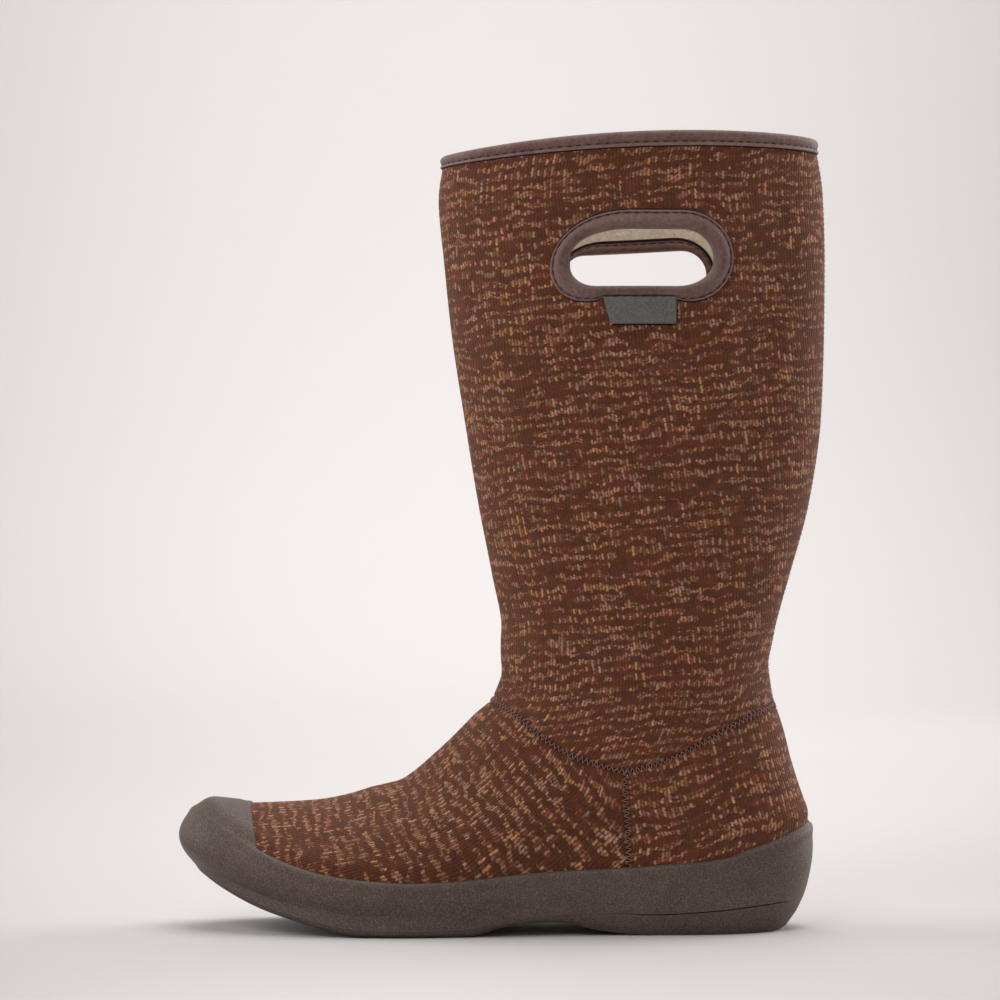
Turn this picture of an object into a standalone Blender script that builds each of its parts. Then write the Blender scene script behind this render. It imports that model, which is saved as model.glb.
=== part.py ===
"""A pull-on winter boot for a left foot: a knitted neoprene bootie set in a rubber shell.

The toe points along -X, the outer (little-toe) side faces -Y and the boot stands on Z = 0.
The bootie's skin is one surface, worked out from rings that run round the foot and then round
the leg. The shell, the insole and the bindings are all cut from that same surface.
Tables are in millimetres and degrees; MM turns them into metres where meshes are made.
"""
import math
from collections import namedtuple

import bmesh
import bpy
import numpy as np

MM = 0.001

# ---------------------------------------------------------------- driving dimensions
WALL = 4.5              # neoprene with its knitted face and fleece lining
GAP = 0.35              # clearance between two pieces that touch
BALL_HALF_WIDTH = 47.5  # half of the shell's width across the ball of the foot

SHELL_FULL = 3.6        # rubber thickness low on the foot
SHELL_EDGE = 1.3        # rubber thickness at the shell's upper edge
SHELL_TAPER = 15.0      # distance over which the rubber thins towards that edge
SHELL_RELIEF = 0.5      # further clearance inside the rubber, below its edge
CAP_CORNER_X = -106.6   # where the toe cap's rear edge meets the sidewall's edge
CAP_CORNER_Z = 36.6
CAP_LEAN = 0.27         # the rear edge runs this far forward for each unit of height

INSOLE_THICKNESS = 4.0
INSOLE_ROUND = 1.0      # its upper edge is rounded off by this much

TREAD_DEPTH = 2.2
TREAD_GROOVE = 3.6      # width of a groove between two lugs
TREAD_RIM = 7.5         # unbroken rim between a groove's end and the sole's edge
TREAD_BOW = 7.0         # how far a groove bows towards the toe at its middle

INNER_ARCH = 2.6        # extra lift of the instep side under the arch
ARCH_X = 20.0           # middle of the arch
ARCH_REACH = 22.0       # half its length
ARCH_START_Y = -15.0    # the lift grows from here towards the instep side
ARCH_WIDTH = 45.0
ARCH_PARTING = 0.8      # share of the lift that the shell's lower edge follows

RIM_CROWN = 3.7         # how far the rim stands higher at its sides than at front and back

COLLAR_FLANGE = 6.0     # height of the collar binding on both faces
COLLAR_FOLD = 1.6       # binding thickness over the rim
COLLAR_CLOTH = 1.2      # binding thickness on a face

HANDLE_LENGTH = 63.4    # clear opening of a handle
HANDLE_HEIGHT = 24.8
HANDLE_RADIUS = 12.2    # round each corner of the opening
HANDLE_BAND = 5.7       # binding outside the cut edge
HANDLE_FOLD = 1.6       # binding inside the cut edge
HANDLE_PAD = 2.5        # how far the padded band stands off the wall
CUTTER_REACH = 6.0      # how far a cutter runs past the faces that it cuts

LABEL_TOP_LENGTH = 31.0
LABEL_BOTTOM_LENGTH = 27.5
LABEL_HEIGHT = 9.8
LABEL_THICKNESS = 1.3
LABEL_SHIFT = -1.5      # from the handle's middle towards the toe

EVEN_COLUMNS = 46       # mesh columns spaced evenly round the boot
CORNER_COLUMNS = (26.0, 33.5, 35.7, 41.0)  # more of them, in degrees, by the toe cap's corners
CORNER_STEPS = 5        # mesh steps round a corner of a handle
RUN_STEPS = 6           # mesh steps along a handle's straight side
SOLE_STRIPS = 6         # mesh strips across the sole
INSOLE_STRIPS = 4
SHAFT_LEVEL = 7         # from this ring up, the mesh has one row for each ring
OUTER_ROWS = (0, 0.33, 0.67, 1, 1.25, 1.5, 1.75, 2, 2.25, 2.5, 3, 3.5, 4, 4.5, 5, 6)
INNER_ROWS = (0, 0.5, 1, 1.5, 2, 3, 4, 5, 6)
SHELL_SHARES = (1.0, 0.85, 0.65, 0.45, 0.25, 0.0)  # rows from the shell's edge to the low wall
SHELL_LOW_ROWS = (0.67, 0.33, 0.0)

# ---------------------------------------------------------------- tables
# Rings of the bootie, from the edge on the sole up to the rim. front and back are where the
# ring crosses the centre line, sink is how far its sides dip below the line between them, half
# is its half width, foot is how much it follows the sole's outline (0 is a plain oval), curve
# is how much it follows the foot's sideways curve, full widens it towards the heel, and tilt
# lifts the instep side and lowers the outer side.
Ring = namedtuple("Ring", "name front_x front_z back_x back_z sink half foot curve full tilt")
RINGS = (
    Ring("sole_edge",    -133.4,  31.3, 129.6,  15.4,  0.0, 41.3, 1.00, 1.00, 0.00, 0.0),
    Ring("low_wall",     -138.8,  40.8, 133.2,  30.0,  0.5, 43.4, 1.00, 1.00, 0.00, 0.0),
    Ring("wall_top",     -128.0,  53.2, 134.6,  42.5,  9.0, 43.0, 1.00, 1.00, 0.00, 0.8),
    Ring("toe_joint",    -107.0,  53.8, 134.9,  51.0, 14.0, 41.0, 0.90, 0.95, 0.04, 1.5),
    Ring("ball",          -83.0,  55.3, 132.6,  58.6, 14.5, 39.0, 0.75, 0.90, 0.10, 2.0),
    Ring("low_instep",    -59.0,  60.0, 129.8,  66.9, 12.5, 37.5, 0.60, 0.80, 0.16, 2.5),
    Ring("instep",        -40.0,  67.4, 127.0,  76.2, 10.0, 36.5, 0.45, 0.65, 0.20, 2.5),
    Ring("high_instep",   -25.2,  80.0, 124.5,  86.5,  7.0, 36.3, 0.30, 0.50, 0.18, 2.0),
    Ring("ankle_bend",    -12.2,  93.2, 121.4,  96.0,  3.5, 36.5, 0.15, 0.35, 0.14, 1.0),
    Ring("ankle_seam",     -3.4, 102.4, 118.7, 103.0,  0.5, 36.8, 0.05, 0.25, 0.10, 0.0),
    Ring("ankle",          -0.5, 114.0, 117.9, 113.5,  0.0, 37.0, 0.00, 0.20, 0.06, 0.0),
    Ring("low_shaft",       0.8, 131.0, 120.1, 131.0,  0.0, 38.0, 0.00, 0.15, 0.03, 0.0),
    Ring("shin",           -3.9, 157.0, 127.3, 157.0,  0.0, 40.5, 0.00, 0.10, 0.00, 0.0),
    Ring("low_calf",      -10.3, 189.0, 135.9, 189.0,  0.0, 43.2, 0.00, 0.05, 0.00, 0.0),
    Ring("calf",          -16.9, 226.4, 141.1, 226.4,  0.0, 45.0, 0.00, 0.00, 0.00, 0.0),
    Ring("high_calf",     -22.3, 262.0, 142.4, 263.0,  0.0, 45.8, 0.00, 0.00, 0.00, 0.0),
    Ring("handle",        -25.5, 292.0, 142.7, 294.0,  0.0, 46.2, 0.00, 0.00, 0.00, 0.0),
    Ring("over_handle",   -28.1, 321.0, 141.8, 324.0,  0.0, 46.2, 0.00, 0.00, 0.00, 0.0),
    Ring("rim",           -25.8, 337.2, 138.4, 347.0,  0.0, 45.6, 0.00, 0.00, 0.00, 0.0),
)
RIM = len(RINGS) - 1

# Outline of the shell from above. along runs from the nose (0) to the heel (1), round is the
# half width over that of an ellipse of the same length, and centre is the sideways curve.
Station = namedtuple("Station", "name along round centre")
OUTLINE = (
    Station("nose",       0.00, 52.5,  9.0),
    Station("toes",       0.08, 57.2,  7.0),
    Station("toe_joint",  0.15, 57.6,  4.2),
    Station("ball",       0.30, 51.9, -0.4),
    Station("waist",      0.50, 38.4, -5.0),
    Station("arch",       0.62, 36.0, -4.0),
    Station("heel_front", 0.73, 39.4, -1.8),
    Station("heel",       0.88, 50.6, -0.5),
    Station("heel_back",  1.00, 60.0,  0.0),
)

# Heights along the foot: under is the sole's underside on the outer edge, parting is where the
# shell stands on the sole, bed is where the bootie stands, and wall_top is the shell's edge.
Height = namedtuple("Height", "name x under parting bed wall_top")
HEIGHTS = (
    Height("nose",       -143.0, 31.0, 32.2, 38.0, 60.0),
    Height("toe_end",    -134.5, 25.4, 26.8, 31.7, 56.0),
    Height("toes",       -118.0, 16.9, 18.6, 23.8, 43.0),
    Height("toe_joint",  -104.0, 11.0, 13.0, 18.4, 35.5),
    Height("roll",        -88.0,  6.4,  8.8, 13.8, 29.6),
    Height("tread_front", -75.0,  2.6,  5.4, 11.0, 26.5),
    Height("ball_front",  -62.0,  0.0,  3.4,  9.4, 24.8),
    Height("ball",        -40.0,  0.0,  2.9,  8.6, 23.6),
    Height("ball_back",   -15.0,  0.0,  3.6,  8.8, 24.7),
    Height("waist",         3.0,  4.6,  7.4, 10.6, 26.6),
    Height("arch",         21.0,  5.8,  9.0, 12.2, 28.1),
    Height("heel_front",   48.0,  2.6,  9.9, 13.6, 29.3),
    Height("heel_tread",   66.0,  0.0,  8.9, 14.0, 30.4),
    Height("heel",         92.0,  0.0, 10.2, 14.7, 33.2),
    Height("heel_roll",   116.0,  0.0, 12.4, 15.0, 39.9),
    Height("heel_back",   127.0,  3.2, 13.3, 15.0, 42.6),
    Height("heel_end",    138.0, 13.0, 13.8, 15.0, 45.6),
)

# Outlines of the sole, level by level: where each ends along X, its half width at the ball, and
# its height as a share of the way from the underside (0) to the parting (1).
Level = namedtuple("Level", "name front_x back_x half share")
TREAD_EDGE = Level("tread_edge", -132.0, 125.5, 43.4, 0.0)
SOLE_EDGE = Level("sole_edge", -135.3, 131.0, 45.8, 0.4)
PARTING = Level("parting", -136.4, 132.8, 46.6, 1.0)

# The two handles: which side they are on (-1 outer, 1 inner), and their middle.
Handle = namedtuple("Handle", "name side x z")
HANDLES = (
    Handle("outer_handle_binding", -1, 60.5, 294.0),
    Handle("inner_handle_binding", 1, 61.5, 291.0),
)

# Cross-section of a handle's binding: out is measured from the cut edge into the wall, and
# lift from the wall's outer face.
BINDING_SECTION = (
    (HANDLE_BAND, GAP),
    (HANDLE_BAND - 0.4, 0.7 * HANDLE_PAD),
    (0.55 * HANDLE_BAND, HANDLE_PAD),
    (0.0, 0.9 * HANDLE_PAD),
    (-HANDLE_FOLD, 0.1),
    (-HANDLE_FOLD, -WALL - 0.1),
    (0.0, -WALL - 0.75 * HANDLE_PAD),
    (0.9 * HANDLE_BAND, -WALL - 0.6 * HANDLE_PAD),
    (0.9 * HANDLE_BAND, -WALL - GAP),
    (-GAP, -WALL - GAP),
    (-GAP, GAP),
)

# Cross-section of the collar's binding: drop is measured down from the rim and lift as above.
COLLAR_SECTION = (
    (COLLAR_FLANGE, GAP),
    (COLLAR_FLANGE - 0.3, GAP + COLLAR_CLOTH),
    (-GAP, GAP + COLLAR_CLOTH),
    (-GAP - 0.85 * COLLAR_FOLD, 0.0),
    (-GAP - COLLAR_FOLD, -WALL / 2),
    (-GAP - 0.85 * COLLAR_FOLD, -WALL),
    (-GAP, -WALL - GAP - COLLAR_CLOTH),
    (COLLAR_FLANGE - 0.3, -WALL - GAP - COLLAR_CLOTH),
    (COLLAR_FLANGE, -WALL - GAP),
    (-GAP, -WALL - GAP),
    (-GAP, GAP),
)

# Rows of grooves under the forefoot and the heel: first and last groove and how many.
Tread = namedtuple("Tread", "name first_x last_x count")
TREADS = (
    Tread("forefoot", -92.0, -14.0, 9),
    Tread("heel", 66.0, 108.0, 5),
)

# Colour, roughness and metallic value of each piece.
Finish = namedtuple("Finish", "color roughness metallic")
KNIT = Finish((0.105, 0.036, 0.020), 0.92, 0.0)
RUBBER = Finish((0.088, 0.060, 0.050), 0.62, 0.0)
BINDING = Finish((0.096, 0.055, 0.050), 0.85, 0.0)
FOAM = Finish((0.34, 0.29, 0.23), 0.95, 0.0)
TAB = Finish((0.13, 0.115, 0.105), 0.55, 0.0)


# ---------------------------------------------------------------- curves through the tables
def column(rows, name):
    """One named column of a table, as an array."""
    return np.array([getattr(row, name) for row in rows], dtype=float)


def smooth(keys, values, at):
    """A smooth curve through table values that never overshoots them."""
    steps = np.diff(keys)
    slopes = np.diff(values) / steps
    tangents = np.zeros_like(values)
    same_way = slopes[:-1] * slopes[1:] > 0
    safe = np.where(same_way, slopes[:-1] * slopes[1:], 1.0)
    total = np.where(same_way, slopes[:-1] + slopes[1:], 1.0)
    tangents[1:-1] = np.where(same_way, 2 * safe / total, 0.0)
    tangents[0], tangents[-1] = slopes[0], slopes[-1]
    at = np.clip(at, keys[0], keys[-1])
    k = np.clip(np.searchsorted(keys, at, side="right") - 1, 0, len(keys) - 2)
    t = (at - keys[k]) / steps[k]
    rise = t * t * (3 - 2 * t)
    return (values[k] * (1 - rise) + values[k + 1] * rise
            + steps[k] * (t * (1 - t) ** 2 * tangents[k] - t * t * (1 - t) * tangents[k + 1]))


def ring_value(name, level):
    """A column of the ring table at any level between the sole's edge (0) and the rim."""
    return smooth(np.arange(len(RINGS), dtype=float), column(RINGS, name), level)


def outline_value(name, along):
    """A column of the outline table at a fraction of the shell's length."""
    return smooth(column(OUTLINE, "along"), column(OUTLINE, name), along)


def height(name, x):
    """A column of the height table at a place along the foot."""
    return smooth(column(HEIGHTS, "x"), column(HEIGHTS, name), x)


# ---------------------------------------------------------------- the bootie's surface
def skin(turn, level):
    """The bootie's outer face: turn is 0 at the toe and grows towards the instep side."""
    turn, level = np.broadcast_arrays(np.asarray(turn, float), np.asarray(level, float))
    along = (1 - np.cos(turn)) / 2
    front_x, back_x = ring_value("front_x", level), ring_value("back_x", level)
    front_z, back_z = ring_value("front_z", level), ring_value("back_z", level)
    foot = ring_value("foot", level)
    x = front_x + (back_x - front_x) * along
    bed_line = height("bed", front_x) * (1 - along) + height("bed", back_x) * along
    dip = 1 - (1 - along) ** 3 - along ** 1.5
    z = (front_z * (1 - along) + back_z * along - ring_value("sink", level) * dip
         + foot * (height("bed", x) - bed_line))
    shape = foot * outline_value("round", along) / BALL_HALF_WIDTH + 1 - foot
    half = ring_value("half", level) * shape * (1 + ring_value("full", level) * along ** 2)
    y = ring_value("curve", level) * outline_value("centre", along) + half * np.sin(turn)
    z = z + ring_value("tilt", level) * np.sin(turn)
    z = z + RIM_CROWN * np.clip(level - RIM + 1, 0, 1) * np.sin(turn) ** 2
    return np.stack([x, y, z], axis=-1)


def skin_normal(turn, level):
    """The direction straight out of the bootie's outer face."""
    turn, level = np.broadcast_arrays(np.asarray(turn, float), np.asarray(level, float))
    step = 0.02
    low, high = np.maximum(level - step, 0), np.minimum(level + step, RIM)
    around = skin(turn + step, level) - skin(turn - step, level)
    up = skin(turn, high) - skin(turn, low)
    normal = np.cross(up, around)
    return normal / np.linalg.norm(normal, axis=-1, keepdims=True)


def lifted(turn, level, lift):
    """The bootie's surface moved out by lift, or in where lift is negative."""
    return skin(turn, level) + skin_normal(turn, level) * np.asarray(lift)[..., None]


def solve_level(turn, test, low=0.0, high=float(RIM)):
    """The level on each column where test(point), rising with the level, passes zero."""
    turn = np.asarray(turn, float)
    low, high = np.full(turn.shape, low), np.full(turn.shape, high)
    for _ in range(40):
        middle = (low + high) / 2
        inside = test(skin(turn, middle)) < 0
        low, high = np.where(inside, middle, low), np.where(inside, high, middle)
    return (low + high) / 2


def past_shell_edge(point):
    """Below zero where the rubber covers a point: behind its edge in height and length."""
    x, z = point[..., 0], point[..., 2]
    cap_edge = CAP_CORNER_X - CAP_LEAN * (z - CAP_CORNER_Z)
    return np.where(x < cap_edge, x - cap_edge, z - height("wall_top", x))


def wall_point(side, x, z, lift):
    """A point on the shaft's outer (-1) or inner (1) side at a place seen from that side."""
    x, z = np.broadcast_arrays(np.asarray(x, float), np.asarray(z, float))
    level = np.full(x.shape, RIM - 2.0)
    for _ in range(30):
        front_x, back_x = ring_value("front_x", level), ring_value("back_x", level)
        turn = side * np.arccos(np.clip(1 - 2 * (x - front_x) / (back_x - front_x), -1, 1))
        level = np.clip(level + (z - skin(turn, level)[..., 2]) / 40.0, 0, RIM)
    return lifted(turn, level, np.broadcast_to(lift, x.shape))


def outline(level, turn):
    """The plan position of a sole outline at each turn."""
    along = (1 - np.cos(turn)) / 2
    x = level.front_x + (level.back_x - level.front_x) * along
    half = level.half * outline_value("round", along) / BALL_HALF_WIDTH
    return x, outline_value("centre", along) + half * np.sin(turn)


def arch_lift(x, y):
    """How far the instep side is lifted over the arch."""
    along = np.exp(-((x - ARCH_X) / ARCH_REACH) ** 2)
    inner = np.clip((y - ARCH_START_Y) / ARCH_WIDTH, 0, 1)
    return INNER_ARCH * along * inner * inner * (3 - 2 * inner)


def underside(x, y):
    """Height of the sole's underside."""
    return height("under", x) + arch_lift(x, y)


def parting(x, y):
    """Height at which the shell stands on the sole's rim."""
    return height("parting", x) + ARCH_PARTING * arch_lift(x, y)


# ---------------------------------------------------------------- mesh helpers
def make_object(name, bm, finish):
    """Closes a bmesh into a named object with its own material."""
    bmesh.ops.remove_doubles(bm, verts=bm.verts, dist=0.00001)
    bmesh.ops.recalc_face_normals(bm, faces=bm.faces)
    mesh = bpy.data.meshes.new(name)
    bm.to_mesh(mesh)
    bm.free()
    mesh.shade_smooth()
    mesh.set_sharp_from_angle(angle=math.radians(40))
    obj = bpy.data.objects.new(name, mesh)
    bpy.context.scene.collection.objects.link(obj)
    if finish:
        material = bpy.data.materials.new(name + "_finish")
        material.use_nodes = True
        shader = material.node_tree.nodes["Principled BSDF"]
        shader.inputs["Base Color"].default_value = (*finish.color, 1.0)
        shader.inputs["Roughness"].default_value = finish.roughness
        shader.inputs["Metallic"].default_value = finish.metallic
        mesh.materials.append(material)
    return obj


def loft(bm, rings, closed=False):
    """Skins a stack of rings (arrays of points in mm); closed joins the last to the first."""
    first = bmesh.ops.create_circle(bm, segments=len(rings[0]), radius=1.0)["verts"]
    edges = list({edge for vert in first for edge in vert.link_edges})
    loops = [first]
    place(first, rings[0])
    order = {vert: i for i, vert in enumerate(first)}
    for ring in rings[1:]:
        grown = bmesh.ops.extrude_edge_only(bm, edges=edges)["geom"]
        verts = [item for item in grown if isinstance(item, bmesh.types.BMVert)]
        edges = [item for item in grown if isinstance(item, bmesh.types.BMEdge)]
        below = {vert: next(e.other_vert(vert) for e in vert.link_edges if e not in edges
                            and e.other_vert(vert) in order) for vert in verts}
        order = {vert: order[below[vert]] for vert in verts}
        verts.sort(key=order.get)
        place(verts, ring)
        loops.append(verts)
    if closed:
        count = len(first)
        for i in range(count):
            j = (i + 1) % count
            bm.faces.new((loops[-1][i], loops[-1][j], first[j], first[i]))
    return loops


def place(verts, points):
    """Moves vertices to points given in millimetres."""
    for vert, point in zip(verts, points):
        vert.co = [float(value) * MM for value in point]


def ladder(bm, loop, strips, shape):
    """Fills a loop that is even about the centre line with cross strips set by shape(x, y)."""
    half = len(loop) // 2
    rows = []
    for i in range(1, half):
        one, other = loop[i], loop[-i]
        row = [one]
        for k in range(1, strips):
            place_xy = one.co.lerp(other.co, k / strips)
            vert = bm.verts.new(place_xy)
            vert.co.z = shape(place_xy.x / MM, place_xy.y / MM) * MM
            row.append(vert)
        rows.append(row + [other])
    for row, following in zip(rows, rows[1:]):
        for k in range(strips):
            bm.faces.new((row[k], row[k + 1], following[k + 1], following[k]))
    for tip, row in ((loop[0], rows[0]), (loop[half], rows[-1])):
        for k in range(strips):
            bm.faces.new((tip, row[k], row[k + 1]))


def columns():
    """The turns of the mesh columns, the first at the toe."""
    even = np.arange(EVEN_COLUMNS) * 2 * math.pi / EVEN_COLUMNS
    corner = np.radians(CORNER_COLUMNS)
    return np.sort(np.concatenate([even, corner, 2 * math.pi - corner]))


# ---------------------------------------------------------------- pieces
def foot_ring(lift, rise):
    """The bootie's lower edge moved out by lift and standing rise above the bed."""
    turn = columns()
    normal = skin_normal(turn, 0.3)
    normal[:, 2] = 0
    normal /= np.linalg.norm(normal, axis=1, keepdims=True)
    ring = skin(turn, 0.0) + normal * lift
    ring[:, 2] = height("bed", ring[:, 0]) + rise
    return ring


def build_upper():
    """The bootie: one hollow wall, open at the rim and over the sole, with two handle cuts."""
    turn = columns()
    shaft = tuple(range(SHAFT_LEVEL, RIM + 1))
    outer = [lifted(turn, level, np.zeros(len(turn))) for level in OUTER_ROWS + shaft]
    inner = [lifted(turn, level, np.full(len(turn), -WALL)) for level in INNER_ROWS + shaft]
    outer[0] = foot_ring(0.0, GAP)
    inner[0] = foot_ring(-WALL, GAP)
    bm = bmesh.new()
    loft(bm, outer + inner[::-1], closed=True)
    upper = make_object("upper", bm, KNIT)
    for handle in HANDLES:
        cut = upper.modifiers.new(handle.name + "_cut", "BOOLEAN")
        cut.operation = "DIFFERENCE"
        cut.solver = "EXACT"
        cut.object = handle_cutter(handle)


def slot_points(offset):
    """A handle's outline in its own plane, moved out from the cut edge by offset."""
    grow = HANDLE_FOLD + offset
    half_x, half_z = HANDLE_LENGTH / 2 + grow, HANDLE_HEIGHT / 2 + grow
    radius = HANDLE_RADIUS + grow
    points = []
    for corner, (side_x, side_z) in enumerate(((1, 1), (-1, 1), (-1, -1), (1, -1))):
        for i in range(CORNER_STEPS + 1):
            angle = (corner + i / CORNER_STEPS) * math.pi / 2
            points.append((side_x * (half_x - radius) + radius * math.cos(angle),
                           side_z * (half_z - radius) + radius * math.sin(angle)))
    return np.array(with_runs(points))


def with_runs(corners):
    """Adds points along the straight top and bottom between the corners of a handle."""
    points = []
    for i, (x, z) in enumerate(corners):
        points.append((x, z))
        next_x, next_z = corners[(i + 1) % len(corners)]
        if i in (CORNER_STEPS, 3 * CORNER_STEPS + 2):
            for share in np.arange(1, RUN_STEPS) / RUN_STEPS:
                points.append((x + (next_x - x) * share, z + (next_z - z) * share))
    return points


def handle_ring(handle, offset, lift):
    """A ring round a handle that follows the curved wall."""
    points = slot_points(offset)
    return wall_point(handle.side, handle.x + points[:, 0], handle.z + points[:, 1],
                      np.full(len(points), lift))


def handle_cutter(handle):
    """The plug that a handle's opening is cut with, square to the wall all round."""
    bm = bmesh.new()
    loops = loft(bm, [handle_ring(handle, 0.0, CUTTER_REACH),
                      handle_ring(handle, 0.0, -WALL - CUTTER_REACH)])
    for loop in loops:
        bmesh.ops.contextual_create(bm, geom=loop)
    cutter = make_object(handle.name + "_cutter", bm, None)
    cutter.hide_render = True
    cutter.display_type = "WIRE"
    return cutter


def build_handle_binding(handle):
    """A padded binding folded round the cut edge of a handle."""
    bm = bmesh.new()
    rings = [handle_ring(handle, out, lift) for out, lift in BINDING_SECTION]
    loft(bm, rings, closed=True)
    make_object(handle.name, bm, BINDING)


def build_collar_binding():
    """A strip of cloth folded over the rim."""
    turn = columns()
    rim_up = skin(turn, RIM) - skin(turn, RIM - 0.05)
    rim_up /= np.linalg.norm(rim_up, axis=1, keepdims=True)
    last_rise = float(np.mean(np.diff([ring.front_z + ring.back_z for ring in RINGS[-2:]]))) / 2

    def ring(drop, lift):
        """A ring at a drop below the rim (above it where drop is negative)."""
        level = RIM - max(drop, 0.0) / last_rise
        return lifted(turn, level, np.full(len(turn), lift)) + rim_up * max(-drop, 0.0)

    bm = bmesh.new()
    loft(bm, [ring(drop, lift) for drop, lift in COLLAR_SECTION], closed=True)
    make_object("collar_binding", bm, BINDING)


def build_shell():
    """The rubber sidewall and toe cap in one, between the sole and its own upper edge."""
    turn = columns()
    top = solve_level(turn, past_shell_edge, 0.2, 6.0)
    levels = [1 + (top - 1) * share for share in SHELL_SHARES]
    levels += [np.full(len(turn), level) for level in SHELL_LOW_ROWS]
    outer, inner = [], []
    reach = np.zeros(len(turn))
    last = skin(turn, top)
    for level in levels:
        here = skin(turn, level)
        reach = reach + np.linalg.norm(here - last, axis=1)
        last = here
        ease = np.clip(reach / SHELL_TAPER, 0, 1)
        thick = SHELL_EDGE + (SHELL_FULL - SHELL_EDGE) * (1 - (1 - ease) ** 2)
        outer.append(lifted(turn, level, GAP + thick))
        inner.append(lifted(turn, level, GAP + SHELL_RELIEF * ease))
    inner[-1] = foot_ring(GAP, GAP)
    foot = foot_ring(GAP, 0.0)
    foot[:, 2] = parting(foot[:, 0], foot[:, 1]) + GAP
    x, y = outline(PARTING, turn)
    bottom = np.stack([x, y, parting(x, y) + GAP], axis=1)
    bm = bmesh.new()
    loft(bm, outer + [bottom, foot] + inner[::-1], closed=True)
    make_object("sidewall_toe_cap", bm, RUBBER)


def build_outsole():
    """The sole: a rim under the shell and a raised bed inside it, grooved underneath."""
    turn = columns()

    def sole_ring(level):
        """A ring of the sole at one outline."""
        x, y = outline(level, turn)
        z = underside(x, y) * (1 - level.share) + parting(x, y) * level.share
        return np.stack([x, y, z], axis=1)

    bed = foot_ring(0.0, 0.0)
    step = bed.copy()
    step[:, 2] = parting(step[:, 0], step[:, 1])
    bm = bmesh.new()
    loops = loft(bm, [sole_ring(TREAD_EDGE), sole_ring(SOLE_EDGE), sole_ring(PARTING), step, bed])
    ladder(bm, loops[0], SOLE_STRIPS, underside)
    ladder(bm, loops[-1], SOLE_STRIPS, lambda x, y: height("bed", x))
    sole = make_object("outsole", bm, RUBBER)
    cut = sole.modifiers.new("tread_cut", "BOOLEAN")
    cut.operation = "DIFFERENCE"
    cut.solver = "EXACT"
    cut.object = tread_cutter()


def tread_cutter():
    """Bowed grooves across the underside, which leave the main lugs between them."""
    bm = bmesh.new()
    x_all, y_all = outline(TREAD_EDGE, np.linspace(0, 2 * math.pi, 400))
    for tread in TREADS:
        for x in np.linspace(tread.first_x, tread.last_x, tread.count):
            near = np.abs(x_all + TREAD_BOW / 2 - x) < 3.0
            low, high = y_all[near].min() + TREAD_RIM, y_all[near].max() - TREAD_RIM
            across = np.linspace(-1, 1, 7)
            y = (low + high) / 2 + across * (high - low) / 2
            middle = x - TREAD_BOW * (1 - across ** 2)
            rings = []
            for px, py, roof in zip(middle, y, underside(middle, y) + TREAD_DEPTH):
                front, back = px - TREAD_GROOVE / 2, px + TREAD_GROOVE / 2
                rings.append([(front, py, -CUTTER_REACH), (back, py, -CUTTER_REACH),
                              (back, py, roof), (front, py, roof)])
            loops = loft(bm, rings)
            for loop in (loops[0], loops[-1]):
                bmesh.ops.contextual_create(bm, geom=loop)
    cutter = make_object("tread_cutter", bm, None)
    cutter.hide_render = True
    cutter.display_type = "WIRE"
    return cutter


def build_insole():
    """A flat foam footbed that lies on the sole inside the bootie."""
    low = foot_ring(-WALL - GAP, GAP)
    top = foot_ring(-WALL - GAP, GAP + INSOLE_THICKNESS)
    soft = foot_ring(-WALL - GAP - INSOLE_ROUND, GAP + INSOLE_THICKNESS)
    top[:, 2] -= INSOLE_ROUND
    bm = bmesh.new()
    loops = loft(bm, [low, top, soft])
    ladder(bm, loops[0], INSOLE_STRIPS, lambda x, y: height("bed", x) + GAP)
    ladder(bm, loops[-1], INSOLE_STRIPS, lambda x, y: height("bed", x) + GAP + INSOLE_THICKNESS)
    make_object("insole", bm, FOAM)


def build_label():
    """A bare rubber tab that hangs below the outer handle's binding."""
    handle = HANDLES[0]
    top_z = handle.z - HANDLE_HEIGHT / 2 - HANDLE_FOLD - HANDLE_BAND - GAP
    bm = bmesh.new()
    grid = bmesh.ops.create_grid(bm, x_segments=6, y_segments=2, size=0.5)["verts"]
    across = np.array([vert.co.x for vert in grid])
    down = np.array([0.5 - vert.co.y for vert in grid])
    length = LABEL_TOP_LENGTH + (LABEL_BOTTOM_LENGTH - LABEL_TOP_LENGTH) * down
    x, z = handle.x + LABEL_SHIFT + across * length, top_z - LABEL_HEIGHT * down
    place(grid, wall_point(-1, x, z, np.full(len(grid), GAP)))
    front = bmesh.ops.extrude_face_region(bm, geom=bm.faces[:])["geom"]
    front = [item for item in front if isinstance(item, bmesh.types.BMVert)]
    place(front, wall_point(-1, x, z, np.full(len(grid), GAP + LABEL_THICKNESS)))
    make_object("label_tab", bm, TAB)


def main():
    """Clears the scene and builds every piece of the boot."""
    for obj in list(bpy.data.objects):
        bpy.data.objects.remove(obj, do_unlink=True)
    build_upper()
    build_shell()
    build_outsole()
    build_insole()
    build_collar_binding()
    for handle in HANDLES:
        build_handle_binding(handle)
    build_label()


main()
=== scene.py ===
"""Looks of a knitted pull-on boot for a left foot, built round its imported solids.

The toe points along -X, the outer side faces -Y and the boot stands on Z = 0. The bootie's skin
is one surface of two values, turn and level: turn runs round the boot from the toe towards the
inner side, and level climbs from the sole's edge to the rim. Every piece lies on that surface.
Sizes are in millimetres, and MM turns them into the metres of the meshes.
"""

import logging
import math
from dataclasses import dataclass, replace
from enum import Enum
from typing import Callable, NamedTuple, Sequence

import bmesh
import bpy
import numpy as np
from mathutils import Matrix, Vector


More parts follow.
